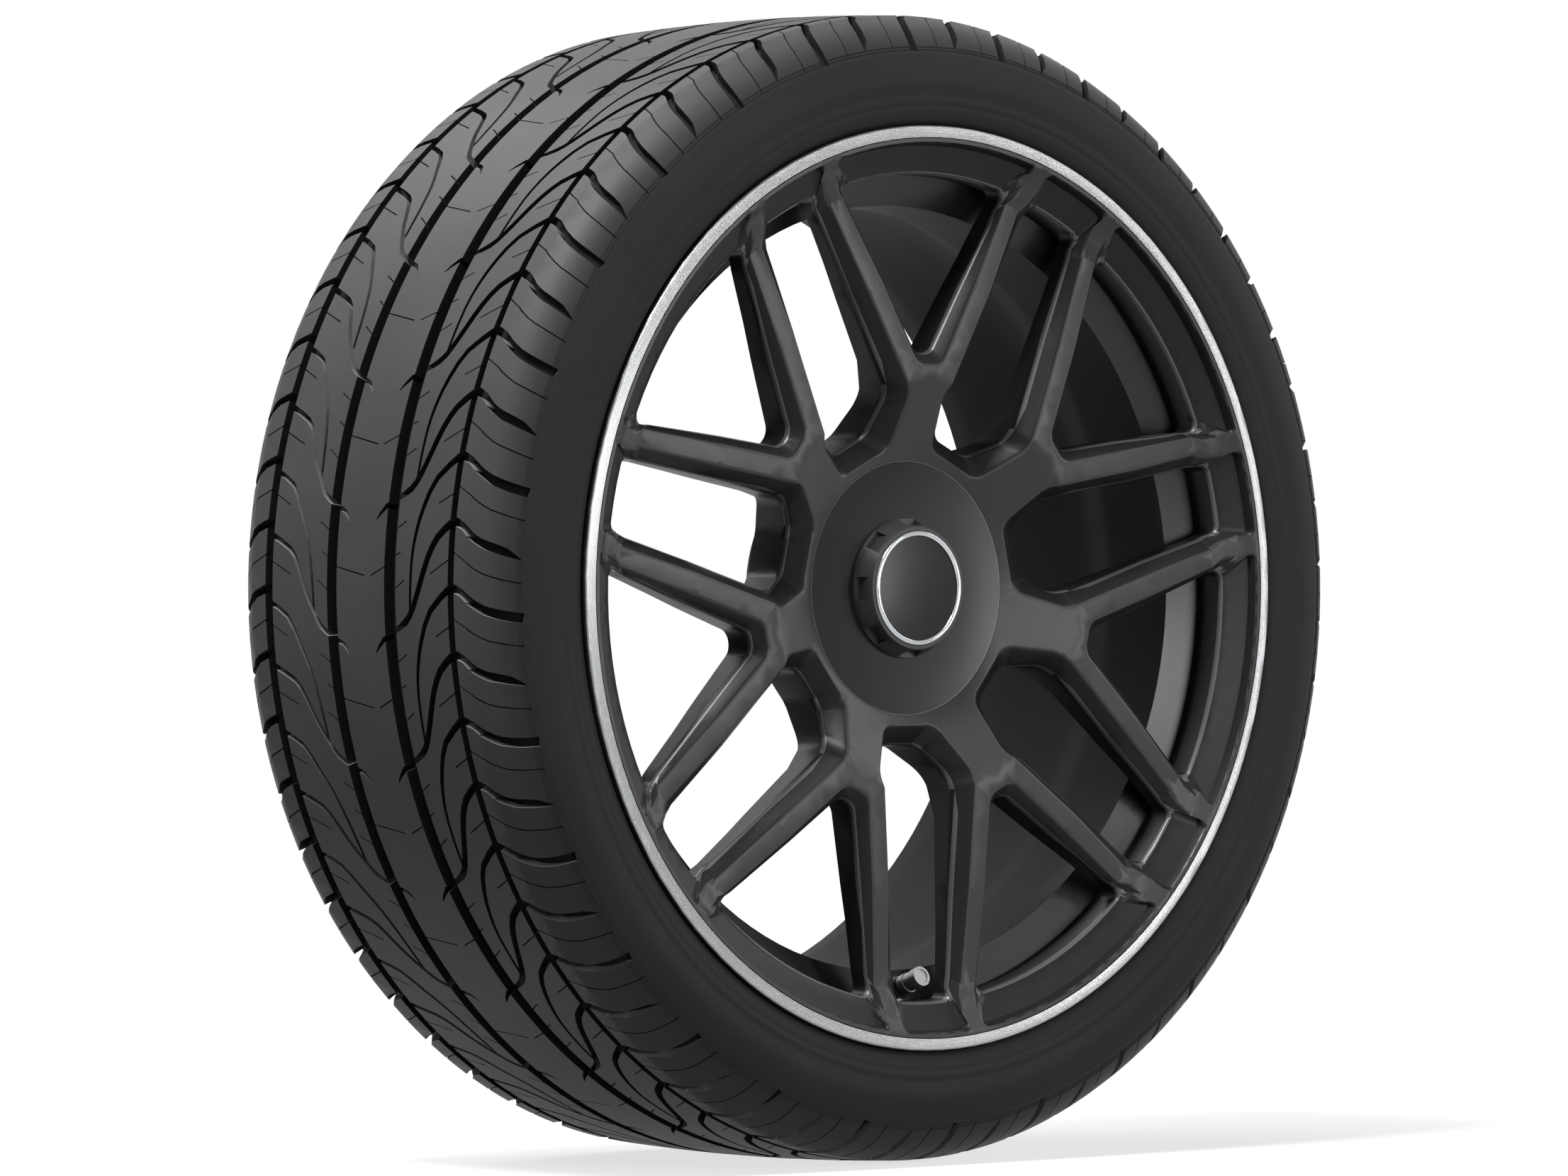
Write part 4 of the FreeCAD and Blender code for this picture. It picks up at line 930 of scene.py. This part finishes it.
AMBIENT = 0.1
FLOOR_HALF = 30
FLOOR_FOR_LIGHT = grey(0.1)
FLOOR_FOR_VIEWERS = grey(0.85)
LIGHTS = (
    # Name, place, width and height, power
    ("overhead_softbox", (-1.5, 0.6, 2.9), (3.4, 3.4), 120),
    ("upper_left_key", (-1.6, -0.4, 3.0), (1.0, 1.0), 240),
    ("back_softbox", (-0.1, 2.2, 2.7), (1.4, 1.4), 34),
    ("front_softbox", (0.1, -3.38, 0.5), (1.8, 0.9), 44),
    ("hub_strip", (1.8, -2.88, 0.4), (0.25, 1.2), 30),
    ("right_strip", (3.2, -0.9, 1.0), (0.6, 2.4), 16),
)
CAMERA_AZIMUTH = -41.55
CAMERA_DISTANCE = 5.431
CAMERA_SHIFT_LEFT = 0.008
CAMERA_SENSOR_MM = 36
CAMERA_LENS_MM = 209.05
CAMERA_REACH = 100


def white_for_viewers(tree):
    """Factor that is 1 for camera, glossy and transmission rays."""
    path = add(tree, "ShaderNodeLightPath")
    seen = math_node(tree, "MAXIMUM", path.outputs["Is Camera Ray"], path.outputs["Is Glossy Ray"])
    return math_node(tree, "MAXIMUM", seen, path.outputs["Is Transmission Ray"])


def make_world():
    """White background for viewers, with a weak ambient light for everything else."""
    world = bpy.data.worlds.new("studio")
    scene.world = world
    world.use_nodes = True
    tree = world.node_tree
    background = put(tree.nodes["Background"], Color=WHITE)
    strength = math_node(tree, "MULTIPLY_ADD", white_for_viewers(tree), 1 - AMBIENT, AMBIENT)
    tree.links.new(strength, background.inputs["Strength"])


def make_floor():
    """White floor that keeps the shadow near the wheel and fades into the background."""
    size = FLOOR_HALF
    corners = [(-size, -size, 0), (size, -size, 0), (size, size, 0), (-size, size, 0)]
    floor = mesh_object("floor", corners, [(0, 1, 2, 3)])
    floor.location.z = cad_box[0][2]
    material, tree, shader = new_material("floor_white")
    put(shader, Roughness=0.9, Specular_IOR_Level=0.0)
    seen = white_for_viewers(tree)
    tree.links.new(mixed(tree, seen, FLOOR_FOR_LIGHT, FLOOR_FOR_VIEWERS), shader.inputs["Base Color"])
    glow = put(add(tree, "ShaderNodeEmission"), Color=WHITE, Strength=1.0)
    mix = add(tree, "ShaderNodeMixShader")
    place = add(tree, "ShaderNodeTexCoord")
    away = add(tree, "ShaderNodeVectorMath", operation="LENGTH")
    tree.links.new(place.outputs["Object"], away.inputs[0])
    fade = add(tree, "ShaderNodeMapRange", interpolation_type="SMOOTHSTEP")
    put(fade, From_Min=0.45, From_Max=1.3, To_Min=0.72, To_Max=1.0)
    tree.links.new(away.outputs["Value"], fade.inputs["Value"])
    tree.links.new(math_node(tree, "MULTIPLY", seen, fade.outputs[0]), mix.inputs["Fac"])
    tree.links.new(shader.outputs[0], mix.inputs[1])
    tree.links.new(glow.outputs[0], mix.inputs[2])
    tree.links.new(mix.outputs[0], tree.nodes["Material Output"].inputs["Surface"])
    floor.data.materials.append(material)


def area_light(name, place, size, power):
    """Rectangular light that points at the middle of the wheel."""
    light = bpy.data.lights.new(name, "AREA")
    light.shape = "RECTANGLE"
    light.size, light.size_y = size
    light.energy = power
    lamp = bpy.data.objects.new(name, light)
    lamp.location = place
    lamp.rotation_euler = (-Vector(place)).to_track_quat("-Z", "Y").to_euler()
    scene.collection.objects.link(lamp)


def make_camera():
    """Level camera with a long lens, to the left of the wheel's outer face."""
    azimuth = math.radians(CAMERA_AZIMUTH)
    back = Vector((math.sin(azimuth), -math.cos(azimuth), 0))
    right = Vector((math.cos(azimuth), math.sin(azimuth), 0))
    camera = bpy.data.cameras.new("camera")
    camera.sensor_width = CAMERA_SENSOR_MM
    camera.lens = CAMERA_LENS_MM
    camera.clip_end = CAMERA_REACH
    viewer = bpy.data.objects.new("camera", camera)
    viewer.location = back * CAMERA_DISTANCE - right * CAMERA_SHIFT_LEFT
    viewer.rotation_euler = (-back).to_track_quat("-Z", "Y").to_euler()
    scene.collection.objects.link(viewer)
    scene.camera = viewer


make_world()
make_floor()
for light_row in LIGHTS:
    area_light(*light_row)
make_camera()
scene.view_settings.view_transform = "Standard"
